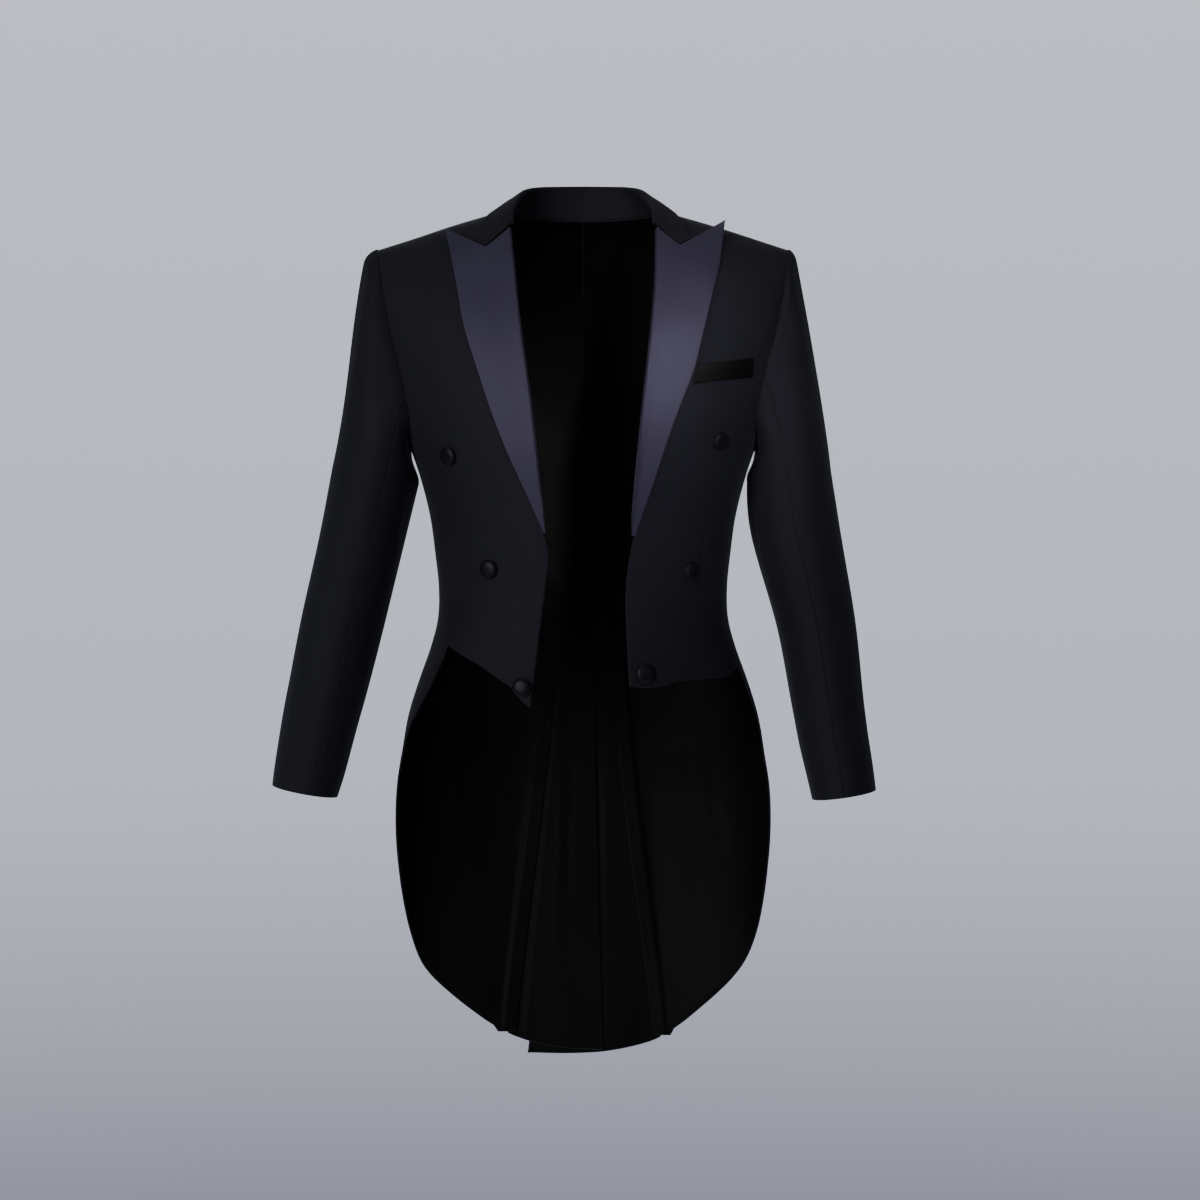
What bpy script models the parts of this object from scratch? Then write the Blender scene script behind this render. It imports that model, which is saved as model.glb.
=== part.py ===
"""A man's black evening tailcoat with pointed satin lapels, in the hollow form it has when worn open.

Metres, +Z up, the front faces -Y and +X is the wearer's left. The origin is in the neck opening, midway between
the shoulders and level with the tops of the shoulder seams, where the wearer's neck and shoulders hold the coat.

Every panel lies on one body surface, which SECTIONS gives as a stack of rounded sections. A point of it has two
numbers: an angle, 0 at the front, +90 degrees at the wearer's left side, 180 at the back, and a level, which counts
the rows of SECTIONS. The edges of the panels are given as they are measured, from the front, the back or the side.
"""

import math

import bpy
import numpy as np

for old in list(bpy.data.objects):
    bpy.data.objects.remove(old, do_unlink=True)

# Cloth and seams
WALL = 0.0022
SEAM_GAP = 0.0003
STACK_GAP = 0.0005
LAP = WALL + 0.0014
SHARP_ANGLE = math.radians(40)

# Shoulders
SHOULDER_SLOPE = math.tan(math.radians(18.0))
SHOULDER_START = 0.085
SHOULDER_SOFTNESS = 0.02
SHOULDER_TIP = 0.2295
NECK_POINT = 0.088

# Body sections, from the hem to the shoulder ridge: height, half width, depth in front, depth behind, squareness,
# and the share of the shoulders' slope that the section takes
SECTIONS = np.array([
    (-1.010, 0.2160, 0.100, 0.124, 2.5, 0.00),
    (-0.900, 0.2170, 0.102, 0.128, 2.5, 0.00),
    (-0.800, 0.2170, 0.104, 0.131, 2.5, 0.00),
    (-0.710, 0.2150, 0.107, 0.133, 2.4, 0.00),
    (-0.655, 0.2110, 0.110, 0.131, 2.4, 0.00),
    (-0.610, 0.2030, 0.111, 0.126, 2.3, 0.00),
    (-0.570, 0.1960, 0.112, 0.119, 2.3, 0.00),
    (-0.530, 0.1840, 0.112, 0.109, 2.3, 0.00),
    (-0.490, 0.1700, 0.112, 0.099, 2.3, 0.00),
    (-0.458, 0.1620, 0.111, 0.093, 2.3, 0.00),
    (-0.424, 0.1610, 0.112, 0.091, 2.3, 0.00),
    (-0.386, 0.1650, 0.115, 0.095, 2.3, 0.00),
    (-0.345, 0.1710, 0.120, 0.104, 2.3, 0.00),
    (-0.302, 0.1820, 0.125, 0.113, 2.3, 0.00),
    (-0.262, 0.1950, 0.127, 0.119, 2.3, 0.03),
    (-0.215, 0.2085, 0.124, 0.121, 2.4, 0.12),
    (-0.165, 0.2200, 0.116, 0.119, 2.4, 0.30),
    (-0.118, 0.2285, 0.103, 0.115, 2.5, 0.52),
    (-0.078, 0.2335, 0.086, 0.106, 2.7, 0.74),
    (-0.045, 0.2355, 0.066, 0.092, 3.1, 0.90),
    (-0.021, 0.2360, 0.045, 0.072, 3.5, 0.98),
    (-0.006, 0.2360, 0.023, 0.043, 3.8, 1.00),
    (0.000, 0.2360, 0.000, 0.000, 3.8, 1.00),
])
TOP_LEVEL = len(SECTIONS) - 1.0
RIDGE_LEVEL = TOP_LEVEL - 0.01
RIDGE_SOFTNESS = 0.5
CHEST_LEVEL = 14.0
CURVE_STEPS = 400
HALVINGS = 40

# The armhole, going round by the front, as seen from the side: turn in degrees, y, z
ARMHOLE = np.array([
    (0, 0.000, -0.0480),
    (25, -0.020, -0.0600),
    (50, -0.0375, -0.0920),
    (75, -0.049, -0.1450),
    (100, -0.057, -0.2050),
    (125, -0.051, -0.2420),
    (150, -0.028, -0.2635),
    (180, 0.004, -0.2700),
    (210, 0.034, -0.2580),
    (235, 0.057, -0.2300),
    (260, 0.068, -0.1870),
    (285, 0.067, -0.1360),
    (310, 0.056, -0.0900),
    (335, 0.031, -0.0600),
    (360, 0.000, -0.0480),
])
SHOULDER_TIP_TURNS = 12.0
SIDE_SEAM_TURN = 186.0
SIDE_BACK_TURN = 268.0
FRONT_TURNS = SIDE_SEAM_TURN * np.linspace(1.0, 0.0, 15) ** 1.2
SIDE_TURNS = np.linspace(SIDE_SEAM_TURN, SIDE_BACK_TURN, 6)
BACK_TURNS = 360.0 - (360.0 - SIDE_BACK_TURN) * np.linspace(1.0, 0.0, 8) ** 1.3

# The front edge and roll line of each front, bottom to top, as seen from the front: x, z
FRONT_EDGE = {
    "right": np.array([
        (0.0566, -0.5560), (0.0468, -0.4760), (0.0372, -0.3960), (0.0390, -0.3730), (0.0476, -0.2887),
        (0.0552, -0.2215), (0.0678, -0.1291), (0.0728, -0.0812), (0.0784, -0.0311), (0.0800, -0.0180),
    ]),
    "left": np.array([
        (0.0510, -0.5330), (0.0480, -0.4760), (0.0472, -0.4280), (0.0535, -0.3762), (0.0534, -0.3427),
        (0.0617, -0.2518), (0.0694, -0.1808), (0.0776, -0.0969), (0.0795, -0.0400), (0.0800, -0.0180),
    ]),
}
BREAK_ROW = 3
INSET_LEAD = 0.006
INSET_EASE = 0.020
CORNER_LEAD = 0.2

# The lower edge of each front, from the front edge to the side seam: share of the way round, height
FRONT_HEM = {
    "right": np.array([
        (0.00, -0.5560), (0.10, -0.5326), (0.26, -0.5100), (0.53, -0.4880), (0.75, -0.4800), (1.00, -0.4760),
    ]),
    "left": np.array([
        (0.00, -0.5330), (0.10, -0.5345), (0.22, -0.5270), (0.55, -0.5210), (0.75, -0.5050), (1.00, -0.4800),
    ]),
}

# The front edge of each tail, from the waist seam to the middle of the hem: angle round the body, height
TAIL_EDGE = {
    "right": np.array([
        (58, -0.502), (62, -0.535), (68, -0.562), (76, -0.586), (88, -0.618), (97, -0.655), (104, -0.715),
        (111, -0.762), (119, -0.808), (129, -0.858), (139, -0.893), (149, -0.923), (160, -0.945), (172, -0.9570),
        (184, -0.9600), (198, -0.9600),
    ]),
    "left": np.array([
        (72, -0.512), (76, -0.535), (81, -0.562), (86, -0.590), (92, -0.624), (98, -0.660), (104, -0.715),
        (111, -0.762), (119, -0.808), (129, -0.858), (139, -0.895), (149, -0.926), (160, -0.950), (172, -0.9615),
        (184, -0.9645), (198, -0.9640),
    ]),
}

# The side-back seam, from the armhole to the hem, as seen from behind
SIDE_BACK = np.array([
    (0.1400, -0.2150), (0.1080, -0.2650), (0.0790, -0.3200), (0.0580, -0.3750), (0.0460, -0.4250),
    (0.0420, -0.4600), (0.0450, -0.5300), (0.0560, -0.6400), (0.0690, -0.7600), (0.0820, -0.8800),
    (0.0930, -0.9900),
])
SIDE_SEAM_ANGLE = 96.0
WAIST_BACK = -0.462

# The back neckline, from the shoulder seam to the nape, as seen from above
BACK_NECK = np.array([(0.0880, 0.0000), (0.0815, 0.0190), (0.0660, 0.0345), (0.0350, 0.0460), (0.0000, 0.0490)])

# The vent: how far each half reaches past the middle at its top and at the hem
VENT_TOP = -0.480
VENT_STEP = 0.0015
VENT_REACH = {"right": (0.010, 0.022), "left": (0.014, 0.0627)}
VENT_HEM_ANGLE = 190.0
VENT_EASE = 0.012
VENT_LEAD = 0.004
VENT_CLEAR = 0.006
HEM_BOTTOM = -0.970
BACK_HOLD = 3.0
# The pleat at the side-back seam: distance outside the seam, share of the lap by which it lies under the back
PLEAT = ((0.0090, 0.0), (0.0056, 0.15), (0.0028, 0.75), (0.0010, 1.0), (-0.0060, 1.0), (-0.0120, 1.0))
TAIL_ROWS = 12
SIDE_ROWS = 13

# Long soft folds of the tails: angle, width in degrees, depth at the hem, height where the fold starts
TAIL_FOLDS = np.array([
    (-163, 7.0, 0.0060, -0.600),
    (-147, 6.0, -0.0050, -0.640),
    (-128, 8.0, 0.0070, -0.560),
    (-108, 8.0, -0.0040, -0.520),
    (160, 6.0, 0.0070, -0.620),
    (144, 7.0, -0.0050, -0.600),
    (125, 8.0, 0.0060, -0.580),
    (106, 8.0, -0.0040, -0.540),
])

# Arms, as sleeve sections from the underarm to the cuff: z, x, y, half width, half depth
ARM = {
    "right": np.array([
        (-0.3000, 0.2321, 0.000, 0.0482, 0.0660),
        (-0.3707, 0.2475, -0.002, 0.0462, 0.0640),
        (-0.4610, 0.2675, -0.010, 0.0447, 0.0605),
        (-0.5235, 0.2810, -0.022, 0.0425, 0.0575),
        (-0.5720, 0.2915, -0.034, 0.0406, 0.0555),
        (-0.6235, 0.3012, -0.046, 0.0380, 0.0535),
        (-0.6495, 0.3065, -0.053, 0.0355, 0.0525),
    ]),
    "left": np.array([
        (-0.3000, 0.2304, 0.000, 0.0464, 0.0660),
        (-0.3550, 0.2366, -0.002, 0.0487, 0.0640),
        (-0.4610, 0.2594, -0.010, 0.0425, 0.0605),
        (-0.5490, 0.2718, -0.026, 0.0387, 0.0565),
        (-0.5900, 0.2775, -0.036, 0.0375, 0.0550),
        (-0.6235, 0.2831, -0.046, 0.0362, 0.0535),
        (-0.6535, 0.2881, -0.054, 0.0345, 0.0525),
    ]),
}
CAP_LEAD_TOP = np.array([1.0, 0.0, -0.16])
CAP_LEAD_LOW = np.array([0.70, 0.0, -0.40])
CAP_SPREAD = 0.45
CAP_OUT = {"right": (0.0105, 0.0040), "left": (0.0045, 0.0040)}
CAP_DOWN = (0.0110, 0.0060)
FALL_SPREAD = 1.25
CAP_ROWS = 4
SLEEVE_ROWS = 7
ARM_ROWS = 9
FOREARM_COLUMN = {"right": 9, "left": 8}
HINDARM_COLUMN = 18

# Lapels, as seen from the front: outer edge bottom to top, then the top edge's inner corner
LAPEL_EDGE = {
    "right": np.array([
        (0.0387, -0.3729), (0.0614, -0.3215), (0.0797, -0.2820), (0.0979, -0.2365), (0.1133, -0.1906),
        (0.1289, -0.1409), (0.1373, -0.0966), (0.1455, -0.0560), (0.1515, -0.0300),
    ]),
    "left": np.array([
        (0.0541, -0.3760), (0.0781, -0.3061), (0.0966, -0.2513), (0.1183, -0.1965), (0.1270, -0.1650),
        (0.1345, -0.1338), (0.1428, -0.1000), (0.1500, -0.0696), (0.1568, -0.0200),
    ]),
}
GORGE_TOP = (0.0790, -0.0270)
LAPEL_TOP = -0.0300
GORGE_CORNER = {"right": (0.1056, -0.0530), "left": (0.1067, -0.0510)}
COLLAR_CORNER = {"right": (0.1226, -0.0430), "left": (0.1180, -0.0445)}
LAPEL_INSET = 0.004
LAPEL_START = 0.02
LAPEL_NARROW = 0.016
LAPEL_SPREAD = 3.0
NOTCH_HOLD = 5
# Round the roll line, the lapel's upper and under sides: distance past it, lift off the body
ROLL_OVER = np.array([(0.0012, -WALL), (0.0002, -0.0006), (0.0006, 0.0018), (0.0024, 0.0042)])
ROLL_UNDER = np.array([(0.0034, -WALL), (0.0034, -0.0012), (0.0035, 0.0004), (0.0046, 0.0014)])
LAPEL_ROLL = 0.0010
LAPEL_GAP = 0.0010
LAPEL_GAP_TOP = 0.0014
LAPEL_GAP_START = -0.12
LAPEL_GAP_EASE = 0.06
LAPEL_LEAVE = 19.6
LAPEL_LEAN = 0.8
LAPEL_STAND = 0.033

# Collar, from the gorge round to the nape: x, y, z of its fold, then x, y of its seam and of its outer edge as
# seen from above
COLLAR = np.array([
    (0.0792, -0.0500, -0.0240, 0.0850, -0.0390, 0.1226, -0.0460),
    (0.0796, -0.0350, -0.0095, 0.0880, -0.0270, 0.1110, -0.0310),
    (0.0765, -0.0180, 0.0020, 0.0890, -0.0100, 0.1010, -0.0107),
    (0.0715, 0.0010, 0.0125, 0.0880, 0.0050, 0.0950, 0.0040),
    (0.0645, 0.0200, 0.0205, 0.0820, 0.0200, 0.0905, 0.0270),
    (0.0500, 0.0385, 0.0255, 0.0660, 0.0360, 0.0770, 0.0530),
    (0.0270, 0.0500, 0.0275, 0.0360, 0.0470, 0.0430, 0.0700),
    (0.0000, 0.0535, 0.0282, 0.0000, 0.0505, 0.0000, 0.0760),
])
COLLAR_FOLD_RADIUS = 0.0019
COLLAR_BULGE = 0.0016
COLLAR_GAP = 0.0016
STAND_SHARES = (0.0, 0.35, 0.7, 1.0)
FOLD_SWINGS = (45, 90, 135)
FALL_SHARES = np.array([0.0, 0.12, 0.3, 0.5, 0.7, 0.86, 1.0])
CORNER_SHARE = 0.7
GORGE_GAP = 0.0011
GORGE_ROWS = 2.2
GORGE_HOLD = 1.5

# Buttons: place as seen from the front, wearer's right and left
BUTTON_RADIUS = 0.0105
BUTTON_HEIGHT = 0.0055
BUTTON_SIDES = 14
# The dome's profile: shares of the radius and of the height
BUTTON_DOME = ((0.86, 0.0), (1.0, 0.20), (0.97, 0.48), (0.80, 0.78), (0.45, 0.95))
FRONT_BUTTONS = {
    "right": ((0.1460, -0.2818), (0.1020, -0.4054), (0.0655, -0.5340)),
    "left": ((0.1504, -0.2657), (0.1183, -0.4075), (0.0680, -0.5190)),
}
WAIST_BUTTON_OUT = 0.004

# Breast welt, as seen from the front: its corners
WELT_LOWER_INNER = (0.1190, -0.2040)
WELT_LOWER_OUTER = (0.1858, -0.1945)
WELT_UPPER_INNER = (0.1272, -0.1826)
WELT_UPPER_OUTER = (0.1870, -0.1733)
WELT_THICKNESS = 0.0016
WELT_ROWS = 3
WELT_COLUMNS = 7

SIDES = {"right": -1.0, "left": 1.0}


def smooth(rows, at):
    """Reads a table at fractional row numbers, on a curve that passes through every row with an even slope."""
    rows = np.asarray(rows, float)
    at = np.asarray(at, float)
    low = np.clip(np.floor(at).astype(int), 0, len(rows) - 2)
    part = (at - low)[..., None]
    before = rows[np.maximum(low - 1, 0)]
    start, end = rows[low], rows[low + 1]
    after = rows[np.minimum(low + 2, len(rows) - 1)]
    leave, arrive = (end - before) / 2, (after - start) / 2
    cubic = 2 * start - 2 * end + leave + arrive
    square = 3 * end - 3 * start - 2 * leave - arrive
    return ((cubic * part + square) * part + leave) * part + start


def along(rows, count=CURVE_STEPS):
    """Points evenly spaced along the smooth curve through a table's rows."""
    fine = smooth(rows, np.linspace(0, len(rows) - 1, CURVE_STEPS))
    length = np.concatenate([[0], np.cumsum(np.linalg.norm(np.diff(fine, axis=0), axis=1))])
    at = np.linspace(0, length[-1], count)
    return np.stack([np.interp(at, length, column) for column in fine.T], axis=-1)


def shoulder_drop(x):
    """How far the shoulders' slope lowers a point, which grows evenly from the neck to the shoulder's tip."""
    past = np.abs(x) - SHOULDER_START
    return SHOULDER_SLOPE * (past + np.sqrt(past ** 2 + SHOULDER_SOFTNESS ** 2)) / 2


def body(angle, level, lift=0.0):
    """The point of the body surface at an angle in degrees and a level, moved out by lift.

    A section is a superellipse: its radius at an angle is (|sin|^n + |cos|^n)^(-1/n) of the half width and depth.
    """
    angle, level = np.broadcast_arrays(np.asarray(angle, float), np.asarray(level, float))
    point = surface(angle, level)
    if np.any(lift):
        point = point + np.asarray(lift)[..., None] * body_normal(angle, level)
    return point


def surface(angle, level):
    """The bare body surface."""
    height, half_width, front, back, squareness, slope = np.moveaxis(smooth(SECTIONS, level), -1, 0)
    turn = np.radians(angle)
    across, ahead = np.sin(turn), np.cos(turn)
    radius = (np.abs(across) ** squareness + np.abs(ahead) ** squareness) ** (-1 / squareness)
    x = half_width * across * radius
    y = -np.where(ahead > 0, front, back) * ahead * radius
    swell = 1 + tail_fold(angle, height) / np.hypot(x, y + 1e-6)
    return np.stack([x * swell, y * swell, height - shoulder_drop(x) * slope], axis=-1)


def tail_fold(angle, height):
    """How far the tails' folds stand out: bell-shaped ridges and troughs that deepen evenly towards the hem."""
    out = np.zeros_like(height)
    for middle, width, depth, start in TAIL_FOLDS:
        past = (angle - middle + 180) % 360 - 180
        down = np.clip((start - height) / (start - HEM_BOTTOM), 0, 1.1)
        out = out + depth * down ** 1.5 * np.exp(-((past / width) ** 2))
    return out


def body_normal(angle, level):
    """The outward direction of the body surface, from its slopes round and up the body."""
    round_step, up_step = 0.2, 0.01
    level = np.clip(level, up_step, TOP_LEVEL - up_step)
    around = surface(angle + round_step, level) - surface(angle - round_step, level)
    upward = surface(angle, level + up_step) - surface(angle, level - up_step)
    out = np.cross(around, upward)
    out = out / np.linalg.norm(out, axis=-1, keepdims=True)
    out[..., 1] *= ease((RIDGE_LEVEL - level) / RIDGE_SOFTNESS)
    return out / np.linalg.norm(out, axis=-1, keepdims=True)


def halve(goes_up, low, high):
    """Finds by halving the level at which a rising quantity passes zero, for a whole array at once."""
    for _ in range(HALVINGS):
        middle = (low + high) / 2
        above = goes_up(middle) > 0
        high = np.where(above, middle, high)
        low = np.where(above, low, middle)
    return (low + high) / 2


def angle_of(x, level, behind=False):
    """The angle at which the section of a level reaches x, on its front or its back half."""
    half_width, squareness = np.moveaxis(smooth(SECTIONS, level), -1, 0)[[1, 4]]
    across = np.clip(np.abs(x) / half_width, 0, 1)
    ahead = (1 - across ** squareness) ** (1 / squareness)
    angle = np.degrees(np.arctan2(across, ahead))
    angle = 180 - angle if behind else angle
    return np.where(x < 0, -angle, angle)


def seen_ahead(x, z, behind=False):
    """Angle and level of the body point at x and z, as seen from the front or from behind."""
    x, z = np.broadcast_arrays(np.asarray(x, float), np.asarray(z, float))

    def rise(level):
        """How far the section of a level lies above z, at x."""
        height, slope = np.moveaxis(smooth(SECTIONS, level), -1, 0)[[0, 5]]
        return height - shoulder_drop(x) * slope - z

    level = halve(rise, np.zeros_like(x), np.full_like(x, TOP_LEVEL))
    angle = angle_of(x, level, behind)
    return np.where(behind & (x < 0), angle + 360, angle), level


def seen_side(y, z):
    """Angle and level of the body point at y and z, as seen from the wearer's left side."""
    y, z = np.broadcast_arrays(np.asarray(y, float), np.asarray(z, float))

    def parts(level):
        """Across and ahead shares of the section of a level at y, and the height there."""
        height, half_width, front, back, squareness, slope = np.moveaxis(smooth(SECTIONS, level), -1, 0)
        ahead = np.clip(np.abs(y) / np.maximum(np.where(y < 0, front, back), 1e-6), 0, 1)
        across = (1 - ahead ** squareness) ** (1 / squareness)
        return across, ahead, height - shoulder_drop(across * half_width) * slope

    level = halve(lambda at: parts(at)[2] - z, np.zeros_like(y), np.full_like(y, TOP_LEVEL))
    across, ahead, _ = parts(level)
    return np.degrees(np.arctan2(across, np.where(y < 0, ahead, -ahead))), level


def armhole(turn):
    """Angle and level of the armhole at a turn in degrees: 0 at the shoulder, 90 in front, 180 under the arm."""
    turn = np.asarray(turn, float)
    rows = smooth(ARMHOLE[:, 1:], np.interp(turn, ARMHOLE[:, 0], np.arange(len(ARMHOLE))))
    angle, level = seen_side(rows[..., 0], rows[..., 1])
    tip = angle_of(SHOULDER_TIP, RIDGE_LEVEL)
    near_tip = np.clip(1 - np.minimum(turn, 360 - turn) / SHOULDER_TIP_TURNS, 0, 1)
    behind = turn > 180
    tip_angle = np.where(behind, 180 - tip, tip)
    angle = angle * (1 - near_tip) + tip_angle * near_tip
    level = level * (1 - near_tip) + RIDGE_LEVEL * near_tip
    return angle, level


def patch(bottom, top, first, last, hold=1.0):
    """A grid between four edges, each an array of (angle, level).

    It goes straight across from first to last, and adds how far bottom and top depart from a straight line, by
    shares (1 - up)^hold and up^hold. A larger hold keeps their shape near themselves.
    """
    across = np.linspace(0, 1, len(bottom))[None, :, None]
    up = np.linspace(0, 1, len(first))[:, None, None]
    low = bottom - bottom[0] * (1 - across) - bottom[-1] * across
    high = top - top[0] * (1 - across) - top[-1] * across
    return first[:, None] * (1 - across) + last[:, None] * across + low * (1 - up) ** hold + high * up ** hold


def pull_in(points, gap=SEAM_GAP / 2):
    """Draws the four edges of a grid in by half a seam gap, so that neighbours stay clear."""
    points = points.copy()
    for last, inside in ((0, 1), (-1, -2)):
        for axis in (0, 1):
            rim = np.moveaxis(points, axis, 0)
            step = rim[inside] - rim[last]
            size = np.linalg.norm(step, axis=-1, keepdims=True)
            rim[last] += step / np.maximum(size, 1e-9) * np.minimum(gap, size / 2)
    return points


def wall_faces(rows, columns):
    """Faces of a closed wall: an outer grid, an inner grid after it, and the strips that join their rims."""
    count = rows * columns
    row, column = np.meshgrid(np.arange(rows - 1), np.arange(columns - 1), indexing="ij")
    a = (row * columns + column).ravel()
    b, c, d = a + 1, a + columns + 1, a + columns
    outer = np.stack([a, b, c, d], 1)
    inner = outer[:, ::-1] + count
    low = np.arange(columns - 1)
    high = low + (rows - 1) * columns
    left = np.arange(rows - 1) * columns
    right = left + columns - 1
    return np.concatenate([
        outer,
        inner,
        np.stack([low + 1, low, low + count, low + 1 + count], 1),
        np.stack([high, high + 1, high + 1 + count, high + count], 1),
        np.stack([left, left + columns, left + columns + count, left + count], 1),
        np.stack([right + columns, right, right + count, right + columns + count], 1),
    ])


def add_solid(name, points, faces, finish):
    """Makes one named object with its own material from points and faces."""
    mesh = bpy.data.meshes.new(name)
    corners = np.asarray(points).reshape(-1, 3).tolist()
    mesh.from_pydata(corners, [], [list(map(int, face)) for face in faces])
    mesh.update()
    mesh.shade_smooth()
    mesh.set_sharp_from_angle(angle=SHARP_ANGLE)
    thing = bpy.data.objects.new(name, mesh)
    bpy.context.scene.collection.objects.link(thing)
    material = bpy.data.materials.new(name + "_" + finish["name"])
    material.use_nodes = True
    shader = material.node_tree.nodes["Principled BSDF"]
    shader.inputs["Base Color"].default_value = (*finish["colour"], 1.0)
    shader.inputs["Roughness"].default_value = finish["roughness"]
    shader.inputs["Metallic"].default_value = 0.0
    mesh.materials.append(material)


WOOL = {"name": "black_wool", "colour": (0.012, 0.012, 0.015), "roughness": 0.85}
SATIN = {"name": "black_satin", "colour": (0.035, 0.033, 0.045), "roughness": 0.35}
BUTTON_CLOTH = {"name": "button_cloth", "colour": (0.014, 0.014, 0.018), "roughness": 0.6}


def add_wall(name, outer, out, finish, side=1.0):
    """A sheet of cloth: the outer grid, and the same grid moved in by the wall's thickness."""
    rows, columns = outer.shape[:2]
    faces = wall_faces(rows, columns)
    if side < 0:
        faces = faces[:, ::-1]
    inner = outer - WALL * out
    add_solid(name, np.concatenate([outer.reshape(-1, 3), inner.reshape(-1, 3)]), faces, finish)


def edge(angle, level):
    """An edge as an array of (angle, level)."""
    angle, level = np.broadcast_arrays(np.asarray(angle, float), np.asarray(level, float))
    return np.stack([angle, level], axis=-1)


def panel(name, grid, side, finish=WOOL, lift=0.0):
    """A panel of cloth on the body surface, from its grid of (angle, level)."""
    angle, level = grid[..., 0], grid[..., 1]
    out = body_normal(angle, level)
    outer = pull_in(body(angle, level, lift))
    add_wall(name, outer, out, finish, side)


def side_back_seam(z):
    """Angle and level of the side-back seam at given heights."""
    order = np.argsort(SIDE_BACK[:, 1])
    return edge(*seen_ahead(np.interp(z, SIDE_BACK[order, 1], SIDE_BACK[order, 0]), z, behind=True))


def front_grid(which, rows_below=12, columns=11):
    """The front: from the front edge and roll line to the side seam and armhole, from its hem to the shoulder."""
    side = SIDES[which]
    hem = FRONT_HEM[which]
    share = np.linspace(0, 1, columns)
    hem_z = smooth(hem, np.interp(share, hem[:, 0], np.arange(len(hem))))[:, 1]
    corner = armhole(SIDE_SEAM_TURN)
    _, hem_side_level = seen_ahead(0.0, hem_z[-1])
    below = edge(SIDE_SEAM_ANGLE, np.linspace(hem_side_level, corner[1], rows_below))
    above = edge(*armhole(FRONT_TURNS[1:]))
    below[-1] = corner
    last = np.concatenate([below, above])

    front = along(FRONT_EDGE[which])
    above_break = front[:, 1] - FRONT_EDGE[which][BREAK_ROW, 1]
    inset = LAPEL_INSET * np.clip((above_break + INSET_LEAD) / INSET_EASE, 0, 1)
    angle, level = seen_ahead(front[:, 0] + inset, front[:, 1])
    neck = edge(angle_of(NECK_POINT, RIDGE_LEVEL), RIDGE_LEVEL)
    angle, level = np.append(angle, neck[0]), np.append(level, neck[1])
    want = np.interp(np.arange(len(last)), [0, rows_below - 1, len(last) - 1],
                     [level[0], corner[1] + CORNER_LEAD, RIDGE_LEVEL])
    first = edge(np.interp(want, level, angle), want)

    _, hem_level = seen_ahead(0.0 * hem_z, hem_z)
    bottom = edge(first[0, 0] + (last[0, 0] - first[0, 0]) * share, hem_level)
    bottom[0], bottom[-1] = first[0], last[0]
    top = edge(first[-1, 0] + (last[-1, 0] - first[-1, 0]) * share, RIDGE_LEVEL)
    grid = patch(bottom, top, first, last)
    grid[..., 0] *= side
    return grid


def side_body_grid(which):
    """The side body: from the waist seam to the armhole, between side seam and side-back seam."""
    side = SIDES[which]
    hem = FRONT_HEM[which]
    top = edge(*armhole(SIDE_TURNS))
    low = level_of(np.linspace(hem[-1, 1], WAIST_BACK, len(top)))
    last_seam = side_back_edge(which)[TAIL_ROWS + 1:][:SIDE_ROWS]
    first = edge(SIDE_SEAM_ANGLE, np.linspace(low[0], top[0, 1], SIDE_ROWS))
    first[-1] = top[0]
    bottom = edge(np.linspace(first[0, 0], last_seam[0, 0], len(top)), low)
    grid = patch(bottom, top, first, last_seam)
    grid[..., 0] *= side
    return grid


def side_back_edge(which):
    """The points that the panels share along the side-back seam, from the hem of the tail up to the armhole."""
    join = armhole(SIDE_BACK_TURN)
    seam = side_back_seam(np.linspace(SIDE_BACK[-1, 1], SIDE_BACK[0, 1], CURVE_STEPS))
    angle = np.append(seam[:, 0], join[0])
    level = np.append(seam[:, 1], join[1])
    hem_angle = np.interp(level_of(HEM_BOTTOM), level, angle)
    tail = np.linspace(level_of(tail_hem(which, hem_angle)), level_of(VENT_TOP - VENT_STEP), TAIL_ROWS)
    body_rows = np.linspace(level_of(WAIST_BACK), join[1], SIDE_ROWS)
    want = np.concatenate([tail, [level_of(VENT_TOP + VENT_STEP)], body_rows])
    return edge(np.interp(want, level, angle), want)


def seen_above(x, y):
    """Angle and level of the body point at x and y, as seen from above: the level where the section is that deep."""
    x, y = np.broadcast_arrays(np.asarray(x, float), np.asarray(y, float))

    def inside(level):
        """How far y lies outside the section of a level, at x."""
        half_width, front, back, squareness = np.moveaxis(smooth(SECTIONS, level), -1, 0)[1:5]
        across = np.clip(np.abs(x) / half_width, 0, 1)
        depth = np.where(y < 0, front, back) * (1 - across ** squareness) ** (1 / squareness)
        return np.abs(y) - depth

    level = halve(inside, np.full_like(x, CHEST_LEVEL), np.full_like(x, TOP_LEVEL))
    ahead, behind = angle_of(x, level), angle_of(x, level, behind=True)
    return np.where(y < 0, ahead, behind), level


def ease(amount):
    """A soft step from 0 to 1."""
    amount = np.clip(amount, 0, 1)
    return amount * amount * (3 - 2 * amount)


def level_of(z):
    """The level of a height, well below the shoulders."""
    return seen_ahead(0.0 * np.asarray(z, float), z)[1]


def tail_hem(which, angle):
    """Height of the tail's cut edge at an angle."""
    rows = TAIL_EDGE[which]
    return smooth(rows, np.interp(angle, rows[:, 0], np.arange(len(rows))))[..., 1]


def vent_edge(which, z):
    """Angle of the centre-back edge at a height: past 180 degrees below the top of the vent."""
    at_top, at_hem = VENT_REACH[which]
    share = np.clip((VENT_TOP - z) / (VENT_TOP - HEM_BOTTOM), 0, 1)
    reach = np.where(z < VENT_TOP - VENT_STEP / 2, at_top + (at_hem - at_top) * share, 0.0)
    past, _ = seen_ahead(-reach, z, behind=True)
    return np.where(reach > 0, past, 180.0)


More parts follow.
